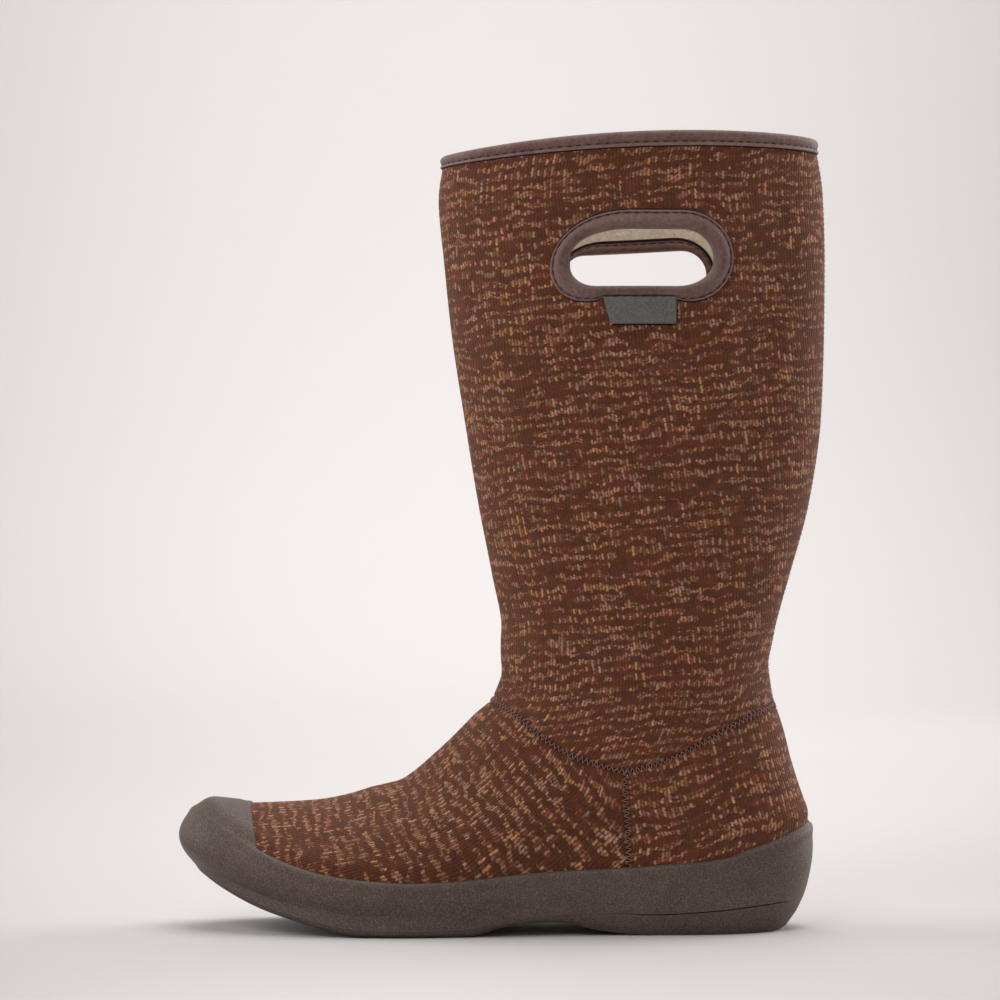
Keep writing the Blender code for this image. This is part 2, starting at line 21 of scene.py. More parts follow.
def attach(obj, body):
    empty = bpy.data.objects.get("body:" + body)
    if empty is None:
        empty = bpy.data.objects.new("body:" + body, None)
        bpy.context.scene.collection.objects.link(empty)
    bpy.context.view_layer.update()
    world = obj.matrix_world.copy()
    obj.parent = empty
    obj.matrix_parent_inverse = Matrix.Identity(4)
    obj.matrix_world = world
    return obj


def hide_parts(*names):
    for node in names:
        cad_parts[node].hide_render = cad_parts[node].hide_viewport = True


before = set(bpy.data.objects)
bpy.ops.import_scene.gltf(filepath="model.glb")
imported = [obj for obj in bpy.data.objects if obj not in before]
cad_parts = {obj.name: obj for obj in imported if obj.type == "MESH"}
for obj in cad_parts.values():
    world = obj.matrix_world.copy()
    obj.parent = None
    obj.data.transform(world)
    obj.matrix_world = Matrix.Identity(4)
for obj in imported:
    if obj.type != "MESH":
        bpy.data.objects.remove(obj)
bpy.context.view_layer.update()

LOG = logging.getLogger("boot")
MM = 0.001
FULL_TURN = 2 * math.pi

WALL = 4.5            # neoprene with its knitted face and fleece lining
GAP = 0.3             # clearance between two pieces that touch


# ---------------------------------------------------------------- tables of the boot's form
class Ring(NamedTuple):
    """A ring of the bootie: where it crosses the centre line and how it runs between."""

    name: str
    front_x: float
    front_z: float
    back_x: float
    back_z: float
    sink: float
    half: float
    foot: float
    curve: float
    full: float
    tilt: float


RINGS = (
    Ring("sole_edge",   -133.4,  31.3, 129.6,  15.4,  0.0, 41.3, 1.00, 1.00, 0.00, 0.0),
    Ring("low_wall",    -138.8,  40.8, 133.2,  30.0,  0.5, 43.4, 1.00, 1.00, 0.00, 0.0),
    Ring("wall_top",    -128.0,  53.9, 134.7,  42.5,  9.0, 43.0, 1.00, 1.00, 0.00, 0.8),
    Ring("toe_joint",   -107.0,  54.5, 135.5,  51.0, 14.0, 41.0, 0.90, 0.95, 0.04, 1.5),
    Ring("ball",         -83.0,  55.7, 133.1,  58.6, 14.5, 39.0, 0.75, 0.90, 0.10, 2.0),
    Ring("low_instep",   -59.0,  60.8, 130.3,  66.9, 12.5, 37.5, 0.60, 0.80, 0.16, 2.5),
    Ring("instep",       -42.6,  66.7, 127.5,  76.2, 10.0, 36.5, 0.45, 0.65, 0.20, 2.5),
    Ring("high_instep",  -29.0,  77.6, 125.0,  86.5,  7.0, 36.3, 0.30, 0.50, 0.18, 2.0),
    Ring("ankle_bend",   -12.8,  93.6, 122.0,  96.0,  3.5, 36.5, 0.15, 0.35, 0.14, 1.0),
    Ring("ankle_seam",    -3.9, 102.4, 119.5, 103.0,  0.5, 36.8, 0.05, 0.25, 0.10, 0.0),
    Ring("ankle",         -1.2, 114.0, 118.5, 113.5,  0.0, 37.0, 0.00, 0.20, 0.06, 0.0),
    Ring("low_shaft",      0.1, 131.0, 120.2, 131.0,  0.0, 38.0, 0.00, 0.15, 0.03, 0.0),
    Ring("shin",          -4.6, 157.0, 127.4, 157.0,  0.0, 40.5, 0.00, 0.10, 0.00, 0.0),
    Ring("low_calf",     -10.8, 189.0, 135.9, 189.0,  0.0, 43.2, 0.00, 0.05, 0.00, 0.0),
    Ring("calf",         -16.9, 226.4, 141.1, 226.4,  0.0, 45.0, 0.00, 0.00, 0.00, 0.0),
    Ring("high_calf",    -22.3, 262.0, 142.4, 263.0,  0.0, 45.8, 0.00, 0.00, 0.00, 0.0),
    Ring("handle",       -25.5, 292.0, 142.7, 294.0,  0.0, 46.2, 0.00, 0.00, 0.00, 0.0),
    Ring("over_handle",  -28.1, 321.0, 141.8, 324.0,  0.0, 46.2, 0.00, 0.00, 0.00, 0.0),
    Ring("rim",          -25.8, 338.1, 138.4, 346.7,  0.0, 45.6, 0.00, 0.00, 0.00, 0.0),
)
RIM = len(RINGS) - 1
RIM_CROWN = 4.2       # how far the rim stands higher at its sides than at front and back
RIM_SKEW = 0.1        # how much more of that is towards its front
RIM_POINT = 1.3       # how much the rim turns up at its very front
BALL_HALF_WIDTH = 47.5


class Station(NamedTuple):
    """The outline of the foot from above at a share of its length."""

    name: str
    along: float
    round: float
    centre: float


OUTLINE = (
    Station("nose",       0.00, 52.5,  9.0),
    Station("toes",       0.08, 57.2,  7.0),
    Station("toe_joint",  0.15, 57.6,  4.2),
    Station("ball",       0.30, 51.9, -0.4),
    Station("waist",      0.50, 38.4, -5.0),
    Station("arch",       0.62, 36.0, -4.0),
    Station("heel_front", 0.73, 39.4, -1.8),
    Station("heel",       0.88, 50.6, -0.5),
    Station("heel_back",  1.00, 60.0,  0.0),
)


class Height(NamedTuple):
    """Heights at a place along the foot: underside, sole's top rim, bed and rubber's edge."""

    name: str
    x: float
    under: float
    parting: float
    bed: float
    wall_top: float


HEIGHTS = (
    Height("nose",       -143.0, 30.4, 32.4, 38.0, 56.0),
    Height("toe_end",    -134.5, 24.4, 26.6, 31.7, 51.4),
    Height("toes",       -118.0, 15.9, 18.2, 23.8, 43.6),
    Height("toe_joint",  -104.0, 10.3, 12.7, 18.4, 35.5),
    Height("roll",        -88.0,  5.8,  8.5, 13.8, 29.6),
    Height("tread_front", -75.0,  2.6,  5.4, 11.0, 26.5),
    Height("ball_front",  -62.0,  0.0,  3.4,  9.4, 24.8),
    Height("ball",        -40.0,  0.0,  2.9,  8.6, 23.6),
    Height("ball_back",   -15.0,  0.0,  3.6,  8.8, 24.7),
    Height("waist",         3.0,  4.6,  7.4, 10.6, 26.6),
    Height("arch",         21.0,  5.8,  9.0, 12.2, 28.1),
    Height("heel_front",   48.0,  1.5,  9.9, 13.6, 29.3),
    Height("heel_tread",   66.0,  0.0,  8.9, 14.0, 30.4),
    Height("heel",         92.0,  0.0, 10.2, 14.7, 32.5),
    Height("heel_roll",   116.0,  0.0, 12.4, 15.0, 38.9),
    Height("heel_back",   127.0,  2.3, 13.3, 15.0, 43.0),
    Height("heel_end",    138.0, 12.0, 13.6, 15.0, 48.2),
)


class Level(NamedTuple):
    """An outline of the sole: its ends along X, half width at the ball, and share of height."""

    name: str
    front_x: float
    back_x: float
    half: float
    share: float


TREAD_EDGE = Level("tread_edge", -132.2, 126.2, 43.4, 0.0)
SOLE_EDGE = Level("sole_edge", -135.4, 130.4, 45.8, 0.4)
PARTING = Level("parting", -137.2, 133.2, 46.6, 1.0)


class Spot(NamedTuple):
    """A point of a line drawn on the side of the boot."""

    x: float
    z: float


# The ankle seam from the front of the ankle, down to the sides and up to the back.
ANKLE_SEAM = (Spot(-3.4, 101.0), Spot(2.5, 97.5), Spot(19.1, 84.4), Spot(30.0, 78.4),
              Spot(39.9, 74.8), Spot(53.8, 71.4), Spot(69.0, 75.1), Spot(86.3, 83.1),
              Spot(104.5, 92.9), Spot(119.0, 99.0))
# The upright seam from the ankle seam's lowest point down into the rubber.
SIDE_SEAM = (Spot(54.8, 8.0), Spot(55.2, 29.5), Spot(54.6, 50.0), Spot(53.8, 62.0),
             Spot(53.8, 72.0))


class Crease(NamedTuple):
    """A soft trough (depth below zero) or ridge across the side of the boot."""

    name: str
    side: int
    x: float
    z: float
    length: float
    width: float
    slope: float
    depth: float


CREASES = (
    Crease("ankle_fold_front",   0,   6.0, 109.0,  46.0, 11.0, -24.0, -1.3),
    Crease("ankle_ridge_front",  0,  12.0, 124.0,  52.0, 15.0, -16.0,  0.8),
    Crease("ankle_fold_back",    0, 112.0, 116.0,  34.0, 12.0,  18.0, -1.0),
    Crease("ankle_ridge_back",   0, 108.0, 134.0,  40.0, 15.0,  20.0,  0.6),
    Crease("instep_fold",       -1, -12.0,  74.0,  44.0, 10.0, -58.0, -0.9),
    Crease("instep_fold_inner",  1,  -8.0,  72.0,  44.0, 11.0, -52.0, -0.9),
    Crease("flex_fold",          0, -42.0,  58.0,  40.0,  9.0, -66.0, -0.8),
    Crease("flex_ridge",         0, -56.0,  52.0,  36.0, 10.0, -72.0,  0.5),
    Crease("calf_hollow",       -1, 112.0, 262.0, 110.0, 20.0,  84.0, -1.6),
    Crease("calf_swell",        -1,  84.0, 190.0, 120.0, 22.0,  80.0,  1.2),
    Crease("shin_swell",        -1,   8.0, 225.0, 150.0, 22.0, -80.0,  1.0),
    Crease("shin_hollow",       -1,  38.0, 175.0, 120.0, 24.0, -84.0, -1.0),
    Crease("inner_hollow",       1,  64.0, 200.0, 150.0, 26.0,  84.0, -1.4),
    Crease("under_handle",      -1,  60.0, 268.0,  46.0, 12.0,   4.0, -0.7),
    Crease("ankle_hollow",      -1,  34.0,  84.0,  76.0, 70.0,  -8.0, -3.2),
    Crease("behind_handle",     -1, 120.0, 305.0,  64.0, 34.0,  84.0, -1.8),
    Crease("before_handle",     -1,  14.0, 282.0,  64.0, 24.0, -80.0,  1.2),
)


class Curve:
    """A smooth curve through table values that never overshoots them."""

    def __init__(self, rows: Sequence, key: str | None, name: str) -> None:
        """Reads a column of a table against its key column, or against the row numbers."""
        self.keys = (np.arange(len(rows), dtype=float) if key is None
                     else np.array([getattr(row, key) for row in rows], dtype=float))
        self.values = np.array([getattr(row, name) for row in rows], dtype=float)
        self.steps = np.diff(self.keys)
        slopes = np.diff(self.values) / self.steps
        same_way = slopes[:-1] * slopes[1:] > 0
        product = np.where(same_way, slopes[:-1] * slopes[1:], 1.0)
        total = np.where(same_way, slopes[:-1] + slopes[1:], 1.0)
        middle = np.where(same_way, 2 * product / total, 0.0)
        self.slopes = np.concatenate([slopes[:1], middle, slopes[-1:]])

    def __call__(self, at: np.ndarray) -> np.ndarray:
        """The curve's values at these keys, held at the table's ends."""
        at = np.minimum(np.maximum(at, self.keys[0]), self.keys[-1])
        k = np.minimum(np.searchsorted(self.keys, at, side="right") - 1, len(self.keys) - 2)
        step = self.steps[k]
        t = (at - self.keys[k]) / step
        rest = 1 - t
        low, high = self.values[k], self.values[k + 1]
        return (low + (high - low) * t * t * (3 - 2 * t)
                + step * t * rest * (rest * self.slopes[k] - t * self.slopes[k + 1]))


RING_CURVES = {name: Curve(RINGS, None, name) for name in Ring._fields[1:]}
OUTLINE_CURVES = {name: Curve(OUTLINE, "along", name) for name in ("round", "centre")}
HEIGHT_CURVES = {name: Curve(HEIGHTS, "x", name) for name in Height._fields[2:]}
ANKLE_CURVE = Curve(ANKLE_SEAM, "x", "z")
SIDE_CURVE = Curve(SIDE_SEAM, "z", "x")


def ease(value: np.ndarray) -> np.ndarray:
    """A smooth step from 0 to 1 as the value goes from 0 to 1."""
    value = np.clip(value, 0.0, 1.0)
    return value * value * (3 - 2 * value)


def unit(vectors: np.ndarray) -> np.ndarray:
    """The same directions, each with a length of one."""
    return vectors / np.linalg.norm(vectors, axis=-1, keepdims=True)


class Form:
    """The bootie's skin as a surface of turn and level, in millimetres."""

    NORMAL_STEP = 0.02      # levels and turns looked at on both sides for a normal
    LEVEL_HALVINGS = 26     # how often a search for a level halves its range
    SIDE_HALVINGS = 20

    @classmethod
    def ring(cls, name: str, level: np.ndarray) -> np.ndarray:
        """A column of the ring table at any level from the sole's edge (0) to the rim."""
        return RING_CURVES[name](level)

    @staticmethod
    def outline(name: str, along: np.ndarray) -> np.ndarray:
        """A column of the outline table at a share of the foot's length."""
        return OUTLINE_CURVES[name](along)

    @staticmethod
    def height(name: str, x: np.ndarray) -> np.ndarray:
        """A column of the height table at a place along the foot."""
        return HEIGHT_CURVES[name](x)

    @classmethod
    def skin(cls, turn: np.ndarray, level: np.ndarray) -> np.ndarray:
        """Points of the bootie's outer face.

        Args:
            turn: Angle round the boot, 0 at the toe, growing towards the inner side.
            level: Level in the ring table.

        Returns:
            An array of points, its last axis X, Y and Z.
        """
        turn, level = np.broadcast_arrays(np.asarray(turn, float), np.asarray(level, float))
        along = (1 - np.cos(turn)) / 2
        front_x, back_x = cls.ring("front_x", level), cls.ring("back_x", level)
        foot = cls.ring("foot", level)
        x = front_x + (back_x - front_x) * along
        bed_line = cls.height("bed", front_x) * (1 - along) + cls.height("bed", back_x) * along
        dip = 1 - (1 - along) ** 3 - along ** 1.5
        z = (cls.ring("front_z", level) * (1 - along) + cls.ring("back_z", level) * along
             - cls.ring("sink", level) * dip + foot * (cls.height("bed", x) - bed_line))
        shape = foot * cls.outline("round", along) / BALL_HALF_WIDTH + 1 - foot
        half = cls.ring("half", level) * shape * (1 + cls.ring("full", level) * along ** 2)
        y = cls.ring("curve", level) * cls.outline("centre", along) + half * np.sin(turn)
        z = z + cls.ring("tilt", level) * np.sin(turn)
        crown = RIM_CROWN * np.sin(turn) ** 2 * (1 + RIM_SKEW * np.cos(turn))
        crown = crown + RIM_POINT * np.exp(-along / 0.09)
        z = z + np.clip(level - RIM + 1, 0, 1) * crown
        return np.stack([x, y, z], axis=-1)

    @classmethod
    def normal(cls, turn: np.ndarray, level: np.ndarray) -> np.ndarray:
        """The direction straight out of the bootie's outer face."""
        turn, level = np.broadcast_arrays(np.asarray(turn, float), np.asarray(level, float))
        step = cls.NORMAL_STEP
        low, high = np.maximum(level - step, 0), np.minimum(level + step, RIM)
        around = cls.skin(turn + step, level) - cls.skin(turn - step, level)
        up = cls.skin(turn, high) - cls.skin(turn, low)
        return unit(np.cross(up, around))

    @classmethod
    def lifted(cls, turn: np.ndarray, level: np.ndarray, lift: np.ndarray) -> np.ndarray:
        """Points moved out from the outer face by lift, or in where lift is negative."""
        points = cls.skin(turn, level)
        lift = np.broadcast_to(np.asarray(lift, float), points.shape[:-1])
        return points + cls.normal(turn, level) * lift[..., None]

    @classmethod
    def solve_level(cls, turn: np.ndarray, test: Callable[[np.ndarray], np.ndarray],
                    low: float = 0.0, high: float = float(RIM)) -> np.ndarray:
        """The level at each turn where a test of the point, rising with level, passes zero.

        Args:
            turn: The turns.
            test: Gives a value for an array of points.
            low: Lowest level looked at.
            high: Highest level looked at.

        Returns:
            One level for each turn.
        """
        turn = np.asarray(turn, float)
        lows, highs = np.full(turn.shape, low), np.full(turn.shape, high)
        for _ in range(cls.LEVEL_HALVINGS):
            middle = (lows + highs) / 2
            inside = test(cls.skin(turn, middle)) < 0
            lows, highs = np.where(inside, middle, lows), np.where(inside, highs, middle)
        return (lows + highs) / 2

    @classmethod
    def turn_at(cls, side: int, x: np.ndarray, level: np.ndarray) -> np.ndarray:
        """The turn where a level's ring has this X on the outer (-1) or inner (1) side."""
        front_x, back_x = cls.ring("front_x", level), cls.ring("back_x", level)
        return side * np.arccos(np.clip(1 - 2 * (x - front_x) / (back_x - front_x), -1, 1))

    @classmethod
    def on_side(cls, side: int, x: np.ndarray, z: np.ndarray) -> tuple[np.ndarray, np.ndarray]:
        """Turn and level of the places on one side that show at these X and Z.

        Args:
            side: -1 for the outer side, 1 for the inner one.
            x: Places along the boot.
            z: Heights.

        Returns:
            The turns and the levels.
        """
        x, z = np.broadcast_arrays(np.asarray(x, float), np.asarray(z, float))
        middles = np.array([(ring.front_z + ring.back_z) / 2 for ring in RINGS])
        level = np.interp(z, middles, np.arange(len(RINGS)))
        low, high = np.maximum(level - 2.0, 0.0), np.minimum(level + 2.0, float(RIM))
        for _ in range(cls.SIDE_HALVINGS):
            missing = z - cls.skin(cls.turn_at(side, x, level), level)[..., 2]
            low, high = np.where(missing > 0, level, low), np.where(missing > 0, high, level)
            level = (low + high) / 2
        return cls.turn_at(side, x, level), level

    @classmethod
    def side_point(cls, side: int, x: np.ndarray, z: np.ndarray, lift: np.ndarray) -> np.ndarray:
        """A point on one side of the boot, lifted off its outer face."""
        turn, level = cls.on_side(side, x, z)
        return cls.lifted(turn, level, lift)

    @staticmethod
    def sole_outline(level: Level, turn: np.ndarray) -> tuple[np.ndarray, np.ndarray]:
        """The X and Y of an outline of the sole at each turn."""
        along = (1 - np.cos(turn)) / 2
        x = level.front_x + (level.back_x - level.front_x) * along
        half = level.half * Form.outline("round", along) / BALL_HALF_WIDTH
        return x, Form.outline("centre", along) + half * np.sin(turn)

    @staticmethod
    def arch_lift(x: np.ndarray, y: np.ndarray) -> np.ndarray:
        """How far the inner side of the sole is lifted over the arch."""
        along = np.exp(-((x - 20.0) / 22.0) ** 2)
        return 2.6 * along * ease((y + 15.0) / 45.0)

    @classmethod
    def underside(cls, x: np.ndarray, y: np.ndarray) -> np.ndarray:
        """Height of the sole's underside."""
        return cls.height("under", x) + cls.arch_lift(x, y)

    @classmethod
    def parting(cls, x: np.ndarray, y: np.ndarray) -> np.ndarray:
        """Height at which the rubber wall stands on the sole."""
        return cls.height("parting", x) + 0.8 * cls.arch_lift(x, y)

    @classmethod
    def foot_ring(cls, turn: np.ndarray, lift: float, rise: float) -> np.ndarray:
        """The bootie's lower edge, moved out by lift and standing rise above the bed."""
        normal = cls.normal(turn, np.full(np.shape(turn), 0.3))
        normal[..., 2] = 0
        ring = cls.skin(turn, np.zeros(np.shape(turn))) + unit(normal) * lift
        ring[..., 2] = cls.height("bed", ring[..., 0]) + rise
        return ring

    @staticmethod
    def crease_relief(points: np.ndarray) -> np.ndarray:
        """How far the soft creases lift the skin at these points."""
        relief = np.zeros(points.shape[:-1])
        for crease in CREASES:
            slope = math.radians(crease.slope)
            dx, dz = points[..., 0] - crease.x, points[..., 2] - crease.z
            along = (dx * math.cos(slope) + dz * math.sin(slope)) / (crease.length / 2)
            across = (dz * math.cos(slope) - dx * math.sin(slope)) / (crease.width / 2)
            reach = np.exp(-along ** 2 - across ** 2)
            if crease.side:
                reach = reach * ease(points[..., 1] * crease.side / 16.0)
            relief += crease.depth * reach
        return relief


# ---------------------------------------------------------------- making meshes
def add_object(name: str, bm: bmesh.types.BMesh) -> bpy.types.Object:
    """Turns a finished bmesh into an object in the scene, and frees it."""
    mesh = bpy.data.meshes.new(name)
    bm.to_mesh(mesh)
    bm.free()
    made = bpy.data.objects.new(name, mesh)
    bpy.context.scene.collection.objects.link(made)
    return made


def faces_of(verts: Sequence[bmesh.types.BMVert]) -> list[bmesh.types.BMFace]:
    """The faces round these vertices, each once, in the order of the vertices."""
    return list(dict.fromkeys(face for vert in verts for face in vert.link_faces))


class Workbench:
    """One piece in the making: a bmesh that takes sheets, tubes and stitches."""

    UV_NAME = "cloth"

    def __init__(self, name: str) -> None:
        """Starts an empty piece of this name."""
        self.name = name
        self.bm = bmesh.new()
        self.uv = self.bm.loops.layers.uv.new(self.UV_NAME)

    def sheet(self, points: np.ndarray, uv: np.ndarray | None = None,
              material: int | Sequence[int] = 0, inner: np.ndarray | None = None,
              inner_material: int = 0) -> None:
        """Adds a grid of faces, or a thick slab where inner points are given.

        Args:
            points: The outer face, an array of rows, columns and X Y Z in millimetres.
            uv: Cloth coordinates in millimetres, an array of rows, columns and U V.
            material: Material index of the outer face and the slab's edges, or one for each row.
            inner: The inner face, shaped as points.
            inner_material: Material index of the inner face.
        """
        rows, cols = points.shape[:2]

        def spots(verts: Sequence[bmesh.types.BMVert]) -> dict[bmesh.types.BMVert, tuple[int, int]]:
            """The row and column of each vertex of the flat grid."""
            return {vert: (round((vert.co.y + 0.5) * (rows - 1)),
                           round((vert.co.x + 0.5) * (cols - 1))) for vert in verts}

        made = bmesh.ops.create_grid(self.bm, x_segments=cols - 1, y_segments=rows - 1, size=0.5)
        flat = made["verts"]
        place = spots(flat)
        spot, lower = dict(place), set()
        faces = faces_of(flat)
        targets = [(place, points if inner is None else inner)]
        if inner is not None:
            grown = bmesh.ops.extrude_face_region(self.bm, geom=faces)["geom"]
            raised = [item for item in grown if isinstance(item, bmesh.types.BMVert)]
            top = spots(raised)
            targets.append((top, points))
            spot.update(top)
            lower = set(faces)
            faces = faces_of(flat + raised)
        rows_of = isinstance(material, (list, tuple))
        for face in faces:
            row = min(spot[vert][0] for vert in face.verts) if rows_of else 0
            face.material_index = (inner_material if face in lower
                                   else material[row] if rows_of else material)
            if uv is not None:
                for loop in face.loops:
                    loop[self.uv].uv = uv[spot[loop.vert]]
        for verts, values in targets:
            for vert, index in verts.items():
                vert.co = Vector(values[index]) * MM

    def ring(self, rings: np.ndarray, uv: np.ndarray | None = None,
             material: int | Sequence[int] = 0) -> None:
        """Adds a skin round a stack of closed rings; the first column is repeated at the end."""
        closed = np.concatenate([rings, rings[:, :1]], axis=1)
        self.sheet(closed, uv, material)

    def band(self, section: Sequence["Bend"], ring: Callable[[float, float], np.ndarray]) -> None:
        """Adds a closed band of cloth that runs round the boot or a handle.

        Args:
            section: The bends of its cross-section, in order round it.
            ring: Gives the ring at a place across the band and at a lift.
        """
        rings = np.stack([ring(bend.across, bend.lift) for bend in (*section, section[0])])
        closed = np.concatenate([rings, rings[:, :1]], axis=1)
        uv = np.stack([travelled(closed, 1), travelled(closed, 0)], axis=-1)
        self.ring(rings, uv, [bend.finish for bend in section])

    def tube(self, path: np.ndarray, radius: float, up: np.ndarray, sides: int = 6,
             material: int = 0) -> None:
        """Adds a round thread along a path.

        Args:
            path: Points of its centre line, in millimetres.
            radius: Its radius.
            up: The direction off the surface at each point.
            sides: Sides of its cross-section.
            material: Material index.
        """
        ahead = unit(np.gradient(path, axis=0))
        side = unit(np.cross(ahead, up))
        rise = np.cross(side, ahead)
        angle = np.arange(sides) * FULL_TURN / sides
        rings = (path[:, None] + radius * (np.cos(angle)[None, :, None] * side[:, None]
                                           + np.sin(angle)[None, :, None] * rise[:, None]))
        ends = np.stack([np.repeat(path[:1], sides, axis=0), np.repeat(path[-1:], sides, axis=0)])
        self.ring(np.concatenate([ends[:1], rings, ends[1:]]), material=material)

    def stitch(self, start: np.ndarray, end: np.ndarray, up: np.ndarray, width: float,
               height: float) -> None:
        """Adds one short stitch that lies on a surface between two points."""
        ahead = end - start
        length = float(np.linalg.norm(ahead))
        ahead = ahead / length
        side = np.cross(ahead, up)
        side /= np.linalg.norm(side)
        up = np.cross(side, ahead)
        middle = (start + end) / 2
        matrix = Matrix([[ahead[i] * length / 2 * MM, side[i] * width / 2 * MM,
                          up[i] * height / 2 * MM, middle[i] * MM] for i in range(3)]
                        + [[0, 0, 0, 1]])
        bmesh.ops.create_uvsphere(self.bm, u_segments=6, v_segments=4, radius=1.0,
                                  matrix=matrix @ Matrix.Rotation(math.pi / 2, 4, "Y"))

    def weld(self, distance: float = 0.002) -> None:
        """Merges points that fall together within a distance in millimetres."""
        bmesh.ops.remove_doubles(self.bm, verts=self.bm.verts, dist=distance * MM)

    def cap(self) -> None:
        """Closes the open ends with faces."""
        rim = [edge for edge in self.bm.edges if edge.is_boundary]
        if rim:
            bmesh.ops.holes_fill(self.bm, edges=rim, sides=0)

    def done(self, finishes: Sequence["Finish"], slot: str, replaces: Sequence[str] = (),
             sharp: float = 50.0) -> bpy.types.Object:
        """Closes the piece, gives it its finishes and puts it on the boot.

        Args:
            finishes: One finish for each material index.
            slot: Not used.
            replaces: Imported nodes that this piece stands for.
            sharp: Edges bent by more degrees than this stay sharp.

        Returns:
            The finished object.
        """
        self.weld()
        bmesh.ops.recalc_face_normals(self.bm, faces=self.bm.faces)
        piece = add_object(self.name, self.bm)
        mesh = piece.data
        mesh.shade_smooth()
        mesh.set_sharp_from_angle(angle=math.radians(sharp))
        for finish in finishes:
            mesh.materials.append(finish.material())
        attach(piece, "root")
        if replaces:
            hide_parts(*replaces)
        LOG.info("%s: %d faces", self.name, len(mesh.polygons))
        return piece


# ---------------------------------------------------------------- materials
Value = float | bpy.types.NodeSocket


class Recipe:
    """Adds nodes to one material and joins them up."""

    def __init__(self, name: str) -> None:
        """Starts a material with a Principled shader."""
        self.material = bpy.data.materials.new(name)
        self.material.use_nodes = True
        self.tree = self.material.node_tree
        self.shader = self.tree.nodes["Principled BSDF"]

    def feed(self, socket: bpy.types.NodeSocket, value: Value | Sequence[float]) -> None:
        """Joins a socket to another, or sets it."""
        if isinstance(value, bpy.types.NodeSocket):
            self.tree.links.new(value, socket)
        else:
            socket.default_value = value

    def node(self, kind: str, **settings: object) -> bpy.types.Node:
        """Adds a node and sets its properties."""
        node = self.tree.nodes.new(kind)
        for name, value in settings.items():
            setattr(node, name, value)
        return node

    def math(self, operation: str, *values: Value) -> bpy.types.NodeSocket:
        """The result of a Math node on one to three values."""
        node = self.node("ShaderNodeMath", operation=operation)
        for socket, value in zip(node.inputs, values):
            self.feed(socket, value)
        return node.outputs[0]

    def cloth(self) -> tuple[bpy.types.NodeSocket, bpy.types.NodeSocket]:
        """The piece's cloth coordinates U and V, in millimetres."""
        split = self.node("ShaderNodeSeparateXYZ")
        uv = self.node("ShaderNodeUVMap", uv_map=Workbench.UV_NAME)
        self.feed(split.inputs[0], uv.outputs["UV"])
        return split.outputs["X"], split.outputs["Y"]

    def place(self) -> bpy.types.NodeSocket:
        """The piece's own coordinates, in metres."""
        return self.node("ShaderNodeTexCoord").outputs["Object"]

    def vector(self, x: Value, y: Value, z: Value = 0.0) -> bpy.types.NodeSocket:
        """A vector of three values."""
        node = self.node("ShaderNodeCombineXYZ")
        for socket, value in zip(node.inputs, (x, y, z)):
            self.feed(socket, value)
        return node.outputs[0]

    def noise(self, vector: bpy.types.NodeSocket, scale: float, detail: float = 2.0,
              rough: float = 0.5, spread: float = 0.0) -> bpy.types.NodeSocket:
        """A Noise node's value at a vector."""
        node = self.node("ShaderNodeTexNoise", noise_dimensions="3D")
        self.feed(node.inputs["Vector"], vector)
        for name, value in (("Scale", scale), ("Detail", detail), ("Roughness", rough),
                            ("Distortion", spread)):
            node.inputs[name].default_value = value
        return node.outputs[0]

    def random(self, vector: bpy.types.NodeSocket) -> bpy.types.NodeSocket:
        """A value from 0 to 1 for each whole-numbered vector."""
        node = self.node("ShaderNodeTexWhiteNoise", noise_dimensions="3D")
        self.feed(node.inputs["Vector"], vector)
        return node.outputs["Value"]

    def step(self, value: Value, low: float, high: float, to_low: float = 0.0,
             to_high: float = 1.0) -> bpy.types.NodeSocket:
        """A smooth step as the value goes from low to high."""
        node = self.node("ShaderNodeMapRange", interpolation_type="SMOOTHSTEP")
        for socket, number in zip(node.inputs, (value, low, high, to_low, to_high)):
            self.feed(socket, number)
        return node.outputs[0]

    def ramp(self, value: Value,
             stops: Sequence[tuple[float, Sequence[float]]]) -> bpy.types.NodeSocket:
        """A colour ramp through the stops, each a place and a colour."""
        node = self.node("ShaderNodeValToRGB")
        self.feed(node.inputs[0], value)
        marks = node.color_ramp.elements
        while len(marks) < len(stops):
            marks.new(0.5)
        for mark, (place, color) in zip(marks, stops):
            mark.position = place
            mark.color = (*color, 1.0)
        return node.outputs[0]

    def mix(self, factor: Value, one: Value | Sequence[float], other: Value | Sequence[float],
            blend: str = "MIX") -> bpy.types.NodeSocket:
        """Two colours mixed by a factor."""
        node = self.node("ShaderNodeMix", data_type="RGBA", blend_type=blend)
        self.feed(node.inputs["Factor"], factor)
        for name, value in (("A", one), ("B", other)):
            socket = next(s for s in node.inputs if s.name == name and s.type == "RGBA")
            self.feed(socket, value if isinstance(value, bpy.types.NodeSocket) else (*value, 1.0))
        return next(s for s in node.outputs if s.type == "RGBA")

    def bump(self, height: Value, distance: float, strength: float = 1.0,
             under: bpy.types.NodeSocket | None = None) -> bpy.types.NodeSocket:
        """A normal bent by a height, whose full range is the distance in millimetres."""
        node = self.node("ShaderNodeBump")
        node.inputs["Distance"].default_value = distance * MM
        node.inputs["Strength"].default_value = strength
        self.feed(node.inputs["Height"], height)
        if under is not None:
            self.feed(node.inputs["Normal"], under)
        return node.outputs[0]


Color = tuple[float, float, float]


